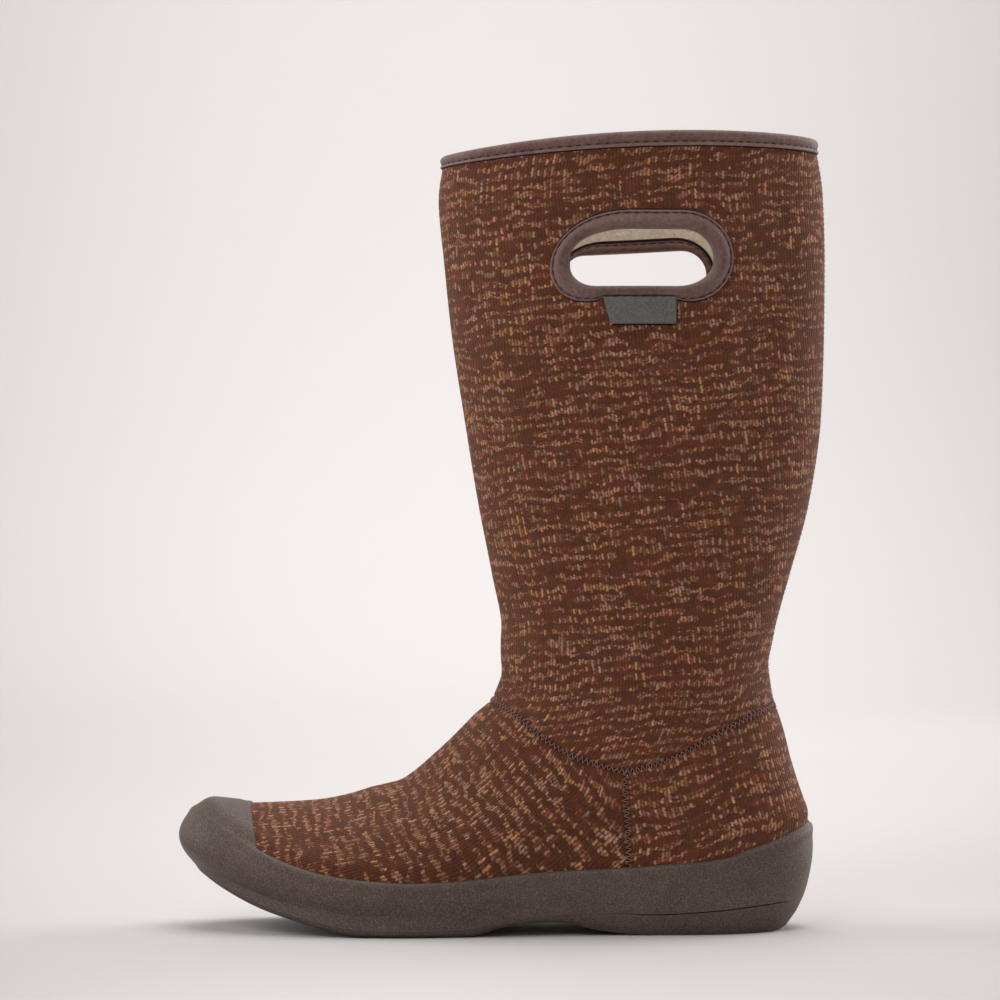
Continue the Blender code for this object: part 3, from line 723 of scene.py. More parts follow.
@dataclass(frozen=True)
class Finish:
    """What every finish has: a name, how matt it is and its soft sheen."""

    name: str
    roughness: float
    sheen: float

    def material(self) -> bpy.types.Material:
        """The finish's material, made the first time that it is asked for."""
        made = bpy.data.materials.get(self.name)
        if made:
            return made
        recipe = Recipe(self.name)
        shader = recipe.shader
        shader.inputs["Roughness"].default_value = self.roughness
        shader.inputs["Sheen Weight"].default_value = self.sheen
        shader.inputs["Sheen Roughness"].default_value = 0.55
        shader.inputs["Specular IOR Level"].default_value = 0.3
        self.build(recipe)
        return recipe.material

    def build(self, recipe: Recipe) -> None:
        """Adds the finish's own nodes."""
        raise NotImplementedError


@dataclass(frozen=True)
class KnitFinish(Finish):
    """A heathered sweater knit: dark loops with broken, comb-like rows of pale yarn."""

    base: tuple[Color, ...]
    flecks: tuple[Color, ...]
    wale: float = 3.0       # width of one column of loops, which has two legs
    course: float = 1.9     # height of one row of loops
    run: float = 8.5        # usual length of a pale run
    rows: float = 4.5       # from one pale row to the next
    share: float = 0.415    # how rare the pale runs are
    link: float = 0.20      # how pale a run is between its strokes
    depth: float = 0.35     # how deep the loops are

    def build(self, recipe: Recipe) -> None:
        """Adds the loops with painted shade between them, the pale runs and the bump of the yarn.
        """
        r = recipe
        u, v = r.cloth()
        flat = r.vector(u, v)
        wave = r.noise(flat, 0.035, 2.0)
        v = r.math("ADD", v, r.math("MULTIPLY", wave, 9.0))
        u = r.math("ADD", u, r.math("MULTIPLY", r.noise(r.vector(v, u, 9.0), 0.09, 1.0), 2.4))
        leg = r.math("MULTIPLY", u, 2.0 / self.wale)
        number = r.math("FLOOR", leg)
        row_place = r.math("SUBTRACT", r.math("FRACT", r.math("DIVIDE", v, self.course)), 0.5)
        side = r.math("FRACT", r.math("MULTIPLY_ADD", number, 0.5, 0.25))
        lean = r.math("MULTIPLY", r.math("MULTIPLY", r.math("SUBTRACT", side, 0.5), 1.1), row_place)
        place = r.math("ADD", r.math("SUBTRACT", r.math("FRACT", leg), 0.5), lean)
        across = r.math("SUBTRACT", 1.0, r.math("ABSOLUTE", r.math("MULTIPLY", place, 2.0)))
        second = r.math("MULTIPLY", r.math("FRACT", r.math("MULTIPLY", number, 0.5)), 2.0)
        along = r.math("SUBTRACT", 1.0, r.math("ABSOLUTE", r.math("MULTIPLY", row_place, 2.0)))
        loop = r.math("MULTIPLY", r.step(across, 0.0, 0.8), r.step(along, -1.2, 0.5))
        fuzz = r.noise(flat, 1.6, 3.0, 0.7)

        patch = r.math("MULTIPLY", r.math("SUBTRACT", r.noise(flat, 0.03, 2.0), 0.5), 0.22)
        one = self.runs(r, u, v, number, patch, 0.0, self.share)
        other = self.runs(r, u, v, number, patch, 41.0, self.share + 0.05)
        stroke = r.math("MULTIPLY", r.math("MAXIMUM", one, other),
                        r.step(across, 0.05, 0.75, self.link, 1.0))
        single = r.step(r.noise(r.vector(r.math("DIVIDE", u, 16.0), r.math("DIVIDE", v, 7.0), 13.0),
                                1.0, 2.0), 0.36, 0.54, 0.0, 0.8)
        stroke = r.math("MULTIPLY", stroke,
                        r.math("SUBTRACT", 1.0, r.math("MULTIPLY", single, second)))
        stroke = r.math("MULTIPLY", stroke, r.step(fuzz, 0.24, 0.58))

        tone = r.noise(r.vector(r.math("DIVIDE", u, 10.0), r.math("DIVIDE", v, 5.0), 4.0), 1.0, 2.0)
        spread = 0.40 / len(self.base)
        ground = r.ramp(tone, [(0.32 + i * spread, color) for i, color in enumerate(self.base)])
        chance = r.random(r.vector(number, r.math("FLOOR", r.math("DIVIDE", v, self.course)), 2.0))
        # painted shade: darker between the loops; random tone from loop to loop and fuzz are added
        # to it
        shade = r.math("MULTIPLY_ADD", loop, 0.20, 0.80)
        shade = r.math("ADD", shade, r.math("MULTIPLY", r.math("SUBTRACT", chance, 0.5), 0.22))
        shade = r.math("ADD", shade, r.math("MULTIPLY", r.math("SUBTRACT", fuzz, 0.5), 1.3))
        ground = r.mix(1.0, ground, r.vector(shade, shade, shade), "MULTIPLY")

        hue = r.noise(r.vector(r.math("DIVIDE", u, 12.0), r.math("DIVIDE", v, 4.0), 7.0), 1.0, 1.0)
        step = 0.40 / len(self.flecks)
        yarn = r.ramp(hue, [(0.32 + i * step, color) for i, color in enumerate(self.flecks)])
        glow = r.math("MULTIPLY_ADD", r.random(r.vector(number, 3.0, r.math("FLOOR", r.math(
            "DIVIDE", v, 2.0 * self.course)))), 0.70, 0.55)
        yarn = r.mix(1.0, yarn, r.vector(glow, glow, glow), "MULTIPLY")
        r.feed(r.shader.inputs["Base Color"], r.mix(stroke, ground, yarn))
        r.shader.inputs["Sheen Tint"].default_value = (0.62, 0.42, 0.30, 1.0)
        height = r.math("ADD", loop, r.math("MULTIPLY", fuzz, 0.8))
        height = r.math("MULTIPLY_ADD", stroke, 0.35, height)
        r.feed(r.shader.inputs["Normal"], r.bump(height, self.depth, 0.7))

    def runs(self, recipe: Recipe, u: bpy.types.NodeSocket, v: bpy.types.NodeSocket,
             number: bpy.types.NodeSocket, patch: bpy.types.NodeSocket, seed: float,
             share: float) -> bpy.types.NodeSocket:
        """One layer of pale runs: rows of upright strokes of uneven height.

        Args:
            recipe: The material's recipe.
            u: Place along the rows of loops.
            v: Place across them.
            number: Number of the leg at u.
            patch: How much more or less pale yarn there is at a place.
            seed: Makes the layer differ from others, and shifts its rows.
            share: How rare its runs are.

        Returns:
            A value that is 1 on the pale strokes and 0 between them.
        """
        r = recipe
        row = r.math("DIVIDE", r.math("ADD", v, seed * 0.0683 * self.rows), self.rows)
        level = r.math("FLOOR", row)
        local = r.math("MULTIPLY", r.math("SUBTRACT", r.math("FRACT", row), 0.5), self.rows)
        sway = r.noise(r.vector(r.math("DIVIDE", u, 8.0), r.math("MULTIPLY", level, 1.7), seed),
                       1.0, 2.0)
        off = r.math("SUBTRACT", local, r.math("MULTIPLY", r.math("SUBTRACT", sway, 0.5), 4.0))
        flow = r.noise(r.vector(r.math("DIVIDE", u, self.run), r.math("MULTIPLY", level, 3.7),
                                seed + 3.0), 1.0, 1.5)
        flow = r.step(r.math("ADD", flow, patch), share - 0.03, share + 0.08)
        high = r.math("POWER", r.random(r.vector(number, level, seed + 5.0)), 1.6)
        low = r.math("POWER", r.random(r.vector(number, level, seed + 8.0)), 1.6)
        high = r.math("MULTIPLY", flow, r.math("MULTIPLY_ADD", high, 1.8, 0.30))
        low = r.math("MULTIPLY", flow, r.math("MULTIPLY_ADD", low, 1.6, 0.30))
        over = r.step(r.math("SUBTRACT", high, off), -0.10, 0.35)
        under = r.step(r.math("ADD", low, off), -0.10, 0.35)
        return r.math("MULTIPLY", r.math("MULTIPLY", over, under), r.step(flow, 0.05, 0.4))


@dataclass(frozen=True)
class FleeceFinish(Finish):
    """A short brushed pile."""

    low: Color
    high: Color

    def build(self, recipe: Recipe) -> None:
        """Adds clumps of pile and their bump."""
        r = recipe
        place = r.place()
        clump = r.noise(place, 420.0, 4.0, 0.65, 0.6)
        patch = r.noise(place, 60.0, 2.0)
        color = r.ramp(r.math("ADD", r.math("MULTIPLY", clump, 0.75),
                              r.math("MULTIPLY", patch, 0.25)),
                       [(0.32, self.low), (0.66, self.high)])
        r.feed(r.shader.inputs["Base Color"], color)
        r.feed(r.shader.inputs["Normal"], r.bump(clump, 1.2, 1.0))


@dataclass(frozen=True)
class RubberFinish(Finish):
    """Matt moulded rubber with a fine grain, faint bloom and paler sharp edges."""

    base: Color
    bloom: Color
    grain: float = 0.16

    def build(self, recipe: Recipe) -> None:
        """Adds grain, bloom, scuffs and paler colour along sharp edges."""
        r = recipe
        place = r.place()
        grain = r.noise(place, 2200.0, 2.0, 0.6)
        speck = r.noise(place, 1500.0, 2.0, 0.7)
        cloud = r.noise(place, 26.0, 4.0, 0.6)
        stretched = self.stretch(r, place)
        scuff = r.step(r.noise(stretched, 90.0, 5.0, 0.7), 0.62, 0.80)
        edge = r.step(r.node("ShaderNodeNewGeometry").outputs["Pointiness"], 0.52, 0.60)
        color = r.mix(r.step(cloud, 0.35, 0.75, 0.0, 0.35), self.base, self.bloom)
        color = r.mix(r.step(speck, 0.50, 0.64, 0.0, 0.75), color, self.bloom)
        color = r.mix(r.step(speck, 0.34, 0.50, 0.55, 0.0), color,
                      tuple(0.45 * value for value in self.base))
        color = r.mix(r.math("MULTIPLY", scuff, 0.22), color, self.bloom)
        # paler along sharp edges
        color = r.mix(r.math("MULTIPLY", edge, 0.40), color, self.bloom)
        r.feed(r.shader.inputs["Base Color"], color)
        r.feed(r.shader.inputs["Roughness"],
               r.math("ADD", self.roughness - 0.06, r.math("MULTIPLY", cloud, 0.14)))
        fine = r.bump(grain, self.grain, 0.9)
        r.feed(r.shader.inputs["Normal"], r.bump(speck, self.grain * 1.2, 0.5, fine))

    @staticmethod
    def stretch(recipe: Recipe, place: bpy.types.NodeSocket) -> bpy.types.NodeSocket:
        """The place squeezed along X, so that scuffs run along the boot."""
        mapping = recipe.node("ShaderNodeMapping")
        mapping.inputs["Scale"].default_value = (0.22, 0.6, 1.4)
        recipe.feed(mapping.inputs["Vector"], place)
        return mapping.outputs[0]


@dataclass(frozen=True)
class TricotFinish(Finish):
    """A thin stretch cloth with a very fine rib."""

    base: Color
    light: Color
    rib: float = 0.55

    def build(self, recipe: Recipe) -> None:
        """Adds the rib, a melange of threads and soft rubbed patches."""
        r = recipe
        u, v = r.cloth()
        place = r.place()
        wave = r.math("SINE", r.math("MULTIPLY", u, FULL_TURN / self.rib))
        cross = r.math("SINE", r.math("MULTIPLY", v, FULL_TURN / (1.6 * self.rib)))
        weave = r.math("MULTIPLY", r.math("ADD", wave, cross), 0.25)
        mottle = r.noise(place, 620.0, 3.0, 0.7)
        patch = r.noise(place, 70.0, 3.0, 0.6)
        blend = r.math("ADD", r.math("MULTIPLY", mottle, 0.6), r.math("MULTIPLY", patch, 0.4))
        blend = r.math("ADD", blend, r.math("MULTIPLY", weave, 0.10))
        color = r.ramp(blend, [(0.36, self.base), (0.68, self.light)])
        r.feed(r.shader.inputs["Base Color"], color)
        height = r.math("ADD", weave, r.math("MULTIPLY", mottle, 0.8))
        r.feed(r.shader.inputs["Normal"], r.bump(height, 0.14, 0.8))


@dataclass(frozen=True)
class ThreadFinish(Finish):
    """Twisted sewing thread."""

    base: Color
    light: Color

    def build(self, recipe: Recipe) -> None:
        """Adds the twist as light and dark bands."""
        r = recipe
        place = r.place()
        wave = r.node("ShaderNodeTexWave", bands_direction="DIAGONAL")
        r.feed(wave.inputs["Vector"], place)
        wave.inputs["Scale"].default_value = 900.0
        wave.inputs["Distortion"].default_value = 2.0
        color = r.mix(r.math("MULTIPLY", wave.outputs["Fac"], r.noise(place, 300.0)), self.base,
                      self.light)
        r.feed(r.shader.inputs["Base Color"], color)
        r.feed(r.shader.inputs["Normal"], r.bump(wave.outputs["Fac"], 0.08, 0.7))


@dataclass(frozen=True)
class FloorFinish(Finish):
    """A studio sweep whose paint carries painted light and shade: darker near the boot and to its
    sides, paler further out.
    """

    near: Color
    far: Color
    rise: tuple[float, float] = (0.8, 2.7)      # from where to where the painted shade near the boot gives way to paler paint, in metres
    reach: float = 0.243                        # how far out to the sides it stays pale
    widen: float = 0.139                        # how much further for each metre back
    side_shade: float = 0.18                          # how much darker the painted shade makes the sides

    def build(self, recipe: Recipe) -> None:
        """Adds the painted grading of light and shade and a faint mottle."""
        r = recipe
        place = r.place()
        split = r.node("ShaderNodeSeparateXYZ")
        r.feed(split.inputs[0], place)
        away = r.node("ShaderNodeVectorMath", operation="LENGTH")
        r.feed(away.inputs[0], place)
        color = r.mix(r.step(away.outputs["Value"], *self.rise), self.near, self.far)
        reach = r.math("MAXIMUM", r.math("MULTIPLY_ADD", split.outputs[1], self.widen, self.reach),
                       0.2)
        out = r.math("POWER", r.math("ABSOLUTE", r.math("DIVIDE", split.outputs[0], reach)), 2.0)
        # painted shade towards the sides
        shade = r.math("MAXIMUM", r.math("SUBTRACT", 1.0, r.math("MULTIPLY", out, self.side_shade)), 0.8)
        shade = r.math("ADD", shade, r.math("MULTIPLY", r.noise(place, 1.4, 2.0), 0.02))
        r.feed(r.shader.inputs["Base Color"],
               r.mix(1.0, color, r.vector(shade, shade, shade), "MULTIPLY"))


KNIT = KnitFinish("heathered_knit", 0.9, 0.16,
                  base=((0.150, 0.034, 0.014), (0.100, 0.031, 0.020), (0.118, 0.041, 0.012),
                        (0.152, 0.037, 0.021)),
                  flecks=((0.60, 0.275, 0.165), (0.56, 0.255, 0.080), (0.62, 0.315, 0.215),
                          (0.48, 0.290, 0.175), (0.38, 0.115, 0.065)))
FOOT_KNIT = replace(KNIT, name="heathered_foot_knit", share=0.408,
                    base=((0.130, 0.032, 0.012), (0.091, 0.029, 0.016), (0.106, 0.036, 0.010),
                          (0.132, 0.034, 0.016)))
FLEECE = FleeceFinish("cream_fleece", 0.95, 0.35, low=(0.66, 0.52, 0.40), high=(0.94, 0.84, 0.72))
RUBBER = RubberFinish("grained_shell_rubber", 0.50, 0.0, base=(0.082, 0.055, 0.044),
                      bloom=(0.170, 0.126, 0.106))
SOLE_RUBBER = RubberFinish("grained_sole_rubber", 0.62, 0.0, base=(0.078, 0.054, 0.045),
                           bloom=(0.150, 0.114, 0.098))
# Painted highlight: a paler copy of the binding for its raised lip, where the lip catches the
# light.
BINDING_LIP = TricotFinish("stretch_binding_lip_painted_highlight", 0.68, 0.20, base=(0.160, 0.080, 0.068),
                           light=(0.330, 0.200, 0.174))
BINDING = TricotFinish("stretch_binding", 0.64, 0.20, base=(0.112, 0.052, 0.044),
                       light=(0.245, 0.140, 0.122))
THREAD = ThreadFinish("dark_thread", 0.7, 0.05, base=(0.020, 0.009, 0.008),
                      light=(0.070, 0.038, 0.032))
SEAM_THREAD = ThreadFinish("seam_thread", 0.8, 0.05, base=(0.250, 0.120, 0.094),
                           light=(0.540, 0.320, 0.265))
# Painted shadow: dark tubes laid in the seams' valleys, along the bindings' edges and below the
# tab, where shade falls.
SHADOW = ThreadFinish("painted_shadow_line", 0.95, 0.0, base=(0.012, 0.006, 0.005),
                      light=(0.030, 0.014, 0.011))
TAB_RUBBER = RubberFinish("smooth_tab_rubber", 0.5, 0.0, base=(0.122, 0.115, 0.111),
                          bloom=(0.180, 0.168, 0.160), grain=0.05)
# Painted light and shade on the sweep: darker near the boot and to the sides, paler further out.
PAINT = FloorFinish("studio_paint_painted_shade", 0.9, 0.0, near=(0.620, 0.597, 0.597),
                    far=(0.895, 0.870, 0.870))


# ---------------------------------------------------------------- the knitted bootie
class Side(Enum):
    """The two sides of the boot."""

    OUTER = -1
    INNER = 1


def crowd(count: int, amount: float = 0.75) -> np.ndarray:
    """Shares from 0 to 1 that crowd together towards both ends."""
    share = np.linspace(0, 1, count)
    return share - amount * np.sin(FULL_TURN * share) / FULL_TURN


def travelled(points: np.ndarray, axis: int) -> np.ndarray:
    """Distance gone along one axis of a grid of points, from its start."""
    steps = np.linalg.norm(np.diff(points, axis=axis), axis=-1)
    lead = np.zeros_like(np.take(steps, [0], axis=axis))
    return np.concatenate([lead, np.cumsum(steps, axis=axis)], axis=axis)


def respaced(path: np.ndarray, step: float) -> np.ndarray:
    """Shares of a path's rows that lie a step apart along it."""
    gone = travelled(path, 0)
    count = max(2, round(gone[-1] / step))
    return np.interp(np.linspace(0, gone[-1], count + 1), gone, np.arange(len(path)))


def pick(values: np.ndarray, rows: np.ndarray) -> np.ndarray:
    """Rows of an array at whole or broken row numbers."""
    whole = np.clip(rows.astype(int), 0, len(values) - 2)
    share = (rows - whole).reshape((-1,) + (1,) * (values.ndim - 1))
    return values[whole] * (1 - share) + values[whole + 1] * share


class Seams:
    """Where the bootie's panels meet."""

    @staticmethod
    def ankle(turn: np.ndarray) -> np.ndarray:
        """Level of the ankle seam at each turn."""
        return Form.solve_level(turn, lambda p: p[..., 2] - ANKLE_CURVE(p[..., 0]), 2.0, 12.0)

    @staticmethod
    def side(side: Side, level: np.ndarray) -> np.ndarray:
        """Turn of a side seam at each level."""
        turn = Form.turn_at(side.value, np.full(np.shape(level), SIDE_SEAM[-1].x), level)
        for _ in range(3):
            turn = Form.turn_at(side.value, SIDE_CURVE(Form.skin(turn, level)[..., 2]), level)
        return turn


@dataclass(frozen=True)
class Panel:
    """A panel of the bootie: thick cloth whose edges roll down into its seams."""

    name: str
    rows: int
    columns: int
    knit: KnitFinish = KNIT
    seam_depth: float = 0.9
    seam_width: float = 3.0

    def grid(self) -> tuple[np.ndarray, np.ndarray]:
        """Turn and level of each of the panel's points."""
        raise NotImplementedError

    def to_seam(self, points: np.ndarray) -> np.ndarray:
        """Distance of each point to the panel's nearest seam."""
        raise NotImplementedError

    def cloth(self, turn: np.ndarray, level: np.ndarray, points: np.ndarray) -> np.ndarray:
        """Cloth coordinates of each point, in millimetres."""
        raise NotImplementedError

    def build(self) -> Workbench:
        """Makes the panel as a slab with its creases and rolled edges."""
        turn, level = self.grid()
        flat = Form.skin(turn, level)
        lift = Form.crease_relief(flat) - self.seam_depth * (
            1 - ease(self.to_seam(flat) / self.seam_width))
        bench = Workbench(self.name)
        bench.sheet(Form.lifted(turn, level, lift), self.cloth(turn, level, flat),
                    inner=Form.lifted(turn, level, 0.8 * np.maximum(lift, -2.0) - WALL),
                    inner_material=1)
        return bench

    def dress(self) -> bpy.types.Object:
        """Makes the panel and gives it its knit and its fleece."""
        return self.build().done((self.knit, FLEECE), "knit_neoprene", ("upper",))


@dataclass(frozen=True)
class ShaftPanel(Panel):
    """The leg of the bootie, from the ankle seam to the rim, closed by the back seam."""

    slant: float = 0.10     # how much the rows of loops rise towards the back

    def grid(self) -> tuple[np.ndarray, np.ndarray]:
        """Turn and level of each of the panel's points."""
        turn = np.tile(FULL_TURN * (crowd(self.columns) - 0.5), (self.rows, 1))
        low = Form.skin(turn[0], Seams.ankle(turn[0]))[:, 2]
        high = Form.skin(turn[0], np.full(self.columns, float(RIM)))[:, 2]
        z = low + (high - low) * crowd(self.rows)[:, None]
        level = Form.solve_level(turn, lambda p: p[..., 2] - z, 2.0)
        level[-1] = RIM
        return turn, level

    def to_seam(self, points: np.ndarray) -> np.ndarray:
        """Distance of each point to the ankle seam or the back seam."""
        up, along = travelled(points, 0), travelled(points, 1)
        return np.minimum(up, np.minimum(along, along[:, -1:] - along))

    def cloth(self, turn: np.ndarray, level: np.ndarray, points: np.ndarray) -> np.ndarray:
        """Rows of loops that climb a little backwards, columns that follow the shin."""
        along = travelled(points, 1)
        front = np.array([np.interp(0.0, t, a) for t, a in zip(turn, along)])[:, None]
        behind = points[..., 0] - Form.ring("front_x", level)
        return np.stack([along - front, points[..., 2] - self.slant * behind], axis=-1)

    def dress(self) -> bpy.types.Object:
        """Makes the panel, cuts the handles and gives it its knit and its fleece."""
        shaft = super().dress()
        for handle in HANDLES:
            handle.cut(shaft)
        return shaft


@dataclass(frozen=True)
class FootPanel(Panel):
    """A panel between the sole and the ankle seam."""

    def to_seam(self, points: np.ndarray) -> np.ndarray:
        """Distance of each point to the panel's two side edges or its top edge."""
        up, along = travelled(points, 0), travelled(points, 1)
        sides = np.minimum(along, along[:, -1:] - along)
        return np.minimum(up[-1:] - up, sides)

    def spread(self, start: Callable[[np.ndarray], np.ndarray],
               end: Callable[[np.ndarray], np.ndarray]) -> tuple[np.ndarray, np.ndarray]:
        """Turn and level of a grid between two side edges given as turns of the level."""
        across = crowd(self.columns)
        up = crowd(self.rows)[:, None]
        level = up * np.full(self.columns, 8.0)
        for _ in range(5):
            turn = start(level) * (1 - across) + end(level) * across
            level = up * Seams.ankle(turn[-1])
        return start(level) * (1 - across) + end(level) * across, level


@dataclass(frozen=True)
class VampPanel(FootPanel):
    """The foot's front, from one side seam round the toe to the other."""

    turn_x: float = -141.0      # the rows of loops fan out from this point above the toe
    turn_z: float = 238.0
    reach: float = 186.0
    power: float = 1.15
    ridge_points: int = 160
    knit: KnitFinish = FOOT_KNIT

    def grid(self) -> tuple[np.ndarray, np.ndarray]:
        """Turn and level of each of the panel's points."""
        return self.spread(lambda level: Seams.side(Side.OUTER, level),
                           lambda level: Seams.side(Side.INNER, level))

    def polar(self, points: np.ndarray) -> tuple[np.ndarray, np.ndarray]:
        """Angle and distance of points from the place where the rows fan out."""
        dx, dz = points[..., 0] - self.turn_x, self.turn_z - points[..., 2]
        return np.arctan2(dx, dz), np.hypot(dx, dz)

    def cloth(self, turn: np.ndarray, level: np.ndarray, points: np.ndarray) -> np.ndarray:
        """Rows that fan round the instep, columns that follow the ridge of the foot."""
        ridge_level = np.linspace(0.6, 11.0, self.ridge_points)
        ridge_angle, ridge_reach = self.polar(Form.skin(np.zeros(self.ridge_points), ridge_level))
        order = np.argsort(ridge_angle)
        angle, reach = self.polar(points)
        down = np.maximum(reach - np.interp(angle, ridge_angle[order], ridge_reach[order]), 0.0)
        side = np.abs(points[..., 1])
        out = (side ** self.power + down ** self.power) ** (1 / self.power)
        return np.stack([np.sign(points[..., 1]) * out, self.reach * angle], axis=-1)


@dataclass(frozen=True)
class HeelPanel(FootPanel):
    """The heel, from one side seam round the back to the other."""

    slant: float = 0.30
    scale: float = 0.885        # how much smaller the knit is here

    def grid(self) -> tuple[np.ndarray, np.ndarray]:
        """Turn and level of each of the panel's points."""
        return self.spread(lambda level: Seams.side(Side.INNER, level),
                           lambda level: FULL_TURN + Seams.side(Side.OUTER, level))

    def cloth(self, turn: np.ndarray, level: np.ndarray, points: np.ndarray) -> np.ndarray:
        """Rows that climb towards the back, columns that run up and down."""
        along = travelled(points, 1)
        back = along[:, -1:] / 2
        rise = points[..., 2] - self.slant * (points[..., 0] - SIDE_SEAM[-1].x)
        return np.stack([(along - back) * self.scale, rise * self.scale], axis=-1)


@dataclass(frozen=True)
class SeamThread:
    """A zigzag of thread sewn flat over a seam."""

    half_width: float = 1.55
    pitch: float = 2.3
    radius: float = 0.24
    lift: float = -0.35
    valley: float = 0.62        # radius of the dark tube of painted shade in the seam below the thread

    def sew(self, bench: Workbench, turn: np.ndarray, level: np.ndarray) -> None:
        """Sews the zigzag along a line of turns and levels, over a dark tube of painted shade."""
        path, up = Form.skin(turn, level), Form.normal(turn, level)
        path = path + up * Form.crease_relief(path)[:, None]
        rows = respaced(path, self.pitch / 4)
        path, up = pick(path, rows), pick(up, rows)
        ahead = np.gradient(path, axis=0)
        side = unit(np.cross(ahead, up))
        step = np.arange(len(path))
        uneven = 0.8 + 0.35 * np.sin(step * 2.3) * np.sin(step * 0.71)
        swing = np.clip(1.35 * np.sin(step * math.pi / 2), -1, 1) * self.half_width * uneven
        lift = self.lift + 0.30 * np.abs(np.cos(step * math.pi / 2))
        bench.tube(path + side * swing[:, None] + up * (lift + self.radius)[:, None],
                   self.radius, up)
        # painted shade: a dark tube along the seam's valley
        bench.tube(path - self.valley * up, self.valley, up, material=1)


@dataclass(frozen=True)
class SeamWork:
    """All the flat seams of the bootie."""

    thread: SeamThread = SeamThread()
    ankle_points: int = 700
    side_points: int = 160
    back_points: int = 500

    def lines(self) -> dict[str, list[tuple[np.ndarray, np.ndarray]]]:
        """The turns and levels along each seam, under the name of its piece."""
        ankle = np.linspace(-math.pi, math.pi, self.ankle_points)
        sides = []
        for side in Side:
            middle = Seams.side(side, np.array([5.0]))
            level = np.linspace(1.3, float(Seams.ankle(middle)[0]), self.side_points)
            sides.append((Seams.side(side, level), level))
        back = np.linspace(float(Seams.ankle(np.array([math.pi]))[0]), RIM - 0.25,
                           self.back_points)
        return {"ankle_seam_thread": [(ankle, Seams.ankle(ankle))],
                "side_seam_threads": sides,
                "back_seam_thread": [(np.full(self.back_points, math.pi), back)]}

    def dress(self) -> None:
        """Sews every seam."""
        for name, lines in self.lines().items():
            bench = Workbench(name)
            for turn, level in lines:
                self.thread.sew(bench, turn, level)
            bench.done((SEAM_THREAD, SHADOW), "knit_neoprene")


# ---------------------------------------------------------------- bindings and label
class Bend(NamedTuple):
    """A point of a binding's cross-section: its place across the band and its lift."""

    across: float
    lift: float
    finish: int = 0


@dataclass(frozen=True)
class StitchRow:
    """A row of short stitches along a line on the boot."""

    length: float = 2.6
    gap: float = 1.6
    width: float = 0.62
    height: float = 0.5

    def sew(self, bench: Workbench, path: np.ndarray, up: np.ndarray) -> None:
        """Sews the stitches along a path with the given directions off the surface."""
        rows = respaced(path, self.length + self.gap)
        share = self.length / (self.length + self.gap)
        starts = pick(path, rows[:-1])
        ends = pick(path, rows[:-1] + share * np.diff(rows))
        for start, end, lift in zip(starts, ends, pick(up, rows[:-1])):
            bench.stitch(start, end, lift, self.width, self.height)


@dataclass(frozen=True)
class CollarBinding:
    """The cloth strip folded over the rim, with its sewn lower edge."""

    name: str = "collar_binding_cloth"
    columns: int = 300
    stitch_drop: float = 2.55
    stitch_points: int = 900
    section: tuple[Bend, ...] = (
        Bend(4.10, 0.10, 1), Bend(4.10, 0.75, 1), Bend(3.90, 1.05, 1), Bend(3.45, 1.10, 1),
        Bend(3.05, 0.85), Bend(2.75, 0.55), Bend(2.50, 0.48), Bend(2.20, 0.66),
        Bend(1.6, 1.15), Bend(0.8, 1.50), Bend(0.0, 1.55), Bend(-0.8, 1.30), Bend(-1.4, 0.65),
        Bend(-1.8, -0.4), Bend(-1.95, -WALL / 2), Bend(-1.8, -WALL + 0.4),
        Bend(-1.3, -WALL - 0.7), Bend(-0.4, -WALL - 1.3), Bend(1.0, -WALL - 1.5),
        Bend(3.0, -WALL - 1.3), Bend(3.8, -WALL - 0.9), Bend(4.3, -WALL - 1.1),
        Bend(5.2, -WALL - 1.0), Bend(5.5, -WALL - 0.2), Bend(-0.3, -WALL - 0.2),
        Bend(-0.3, 0.1),
    )

    def ring(self, turn: np.ndarray, drop: float, lift: float) -> np.ndarray:
        """A ring at a drop below the rim and a lift off the outer face."""
        rise = unit(Form.skin(turn, RIM) - Form.skin(turn, RIM - 0.05))
        step = (RINGS[-1].front_z + RINGS[-1].back_z - RINGS[-2].front_z - RINGS[-2].back_z) / 2
        level = np.full(len(turn), RIM - max(drop, 0.0) / step)
        return Form.lifted(turn, level, lift) + rise * max(-drop, 0.0)

    def dress(self) -> None:
        """Makes the strip, sews its row of stitches and lays a dark tube of painted shadow along
        its lower edge.
        """
        turn = np.arange(self.columns) * FULL_TURN / self.columns
        bench = Workbench(self.name)
        bench.band(self.section, lambda across, lift: self.ring(turn, across, lift))
        bench.done((BINDING, BINDING_LIP), "binding", ("collar_binding",))
        bench = Workbench(self.name + "_stitches")
        turn = np.linspace(-math.pi, math.pi, self.stitch_points)
        path = self.ring(turn, self.stitch_drop, 0.62)
        up = Form.normal(turn, np.full(self.stitch_points, RIM - 0.1))
        StitchRow().sew(bench, path, up)
        # painted shadow: a dark tube along the strip's lower edge
        edge = self.ring(turn, self.section[0].across + 0.15, 0.05)
        bench.tube(edge, 0.38, up, material=1)
        bench.done((THREAD, SHADOW), "binding")


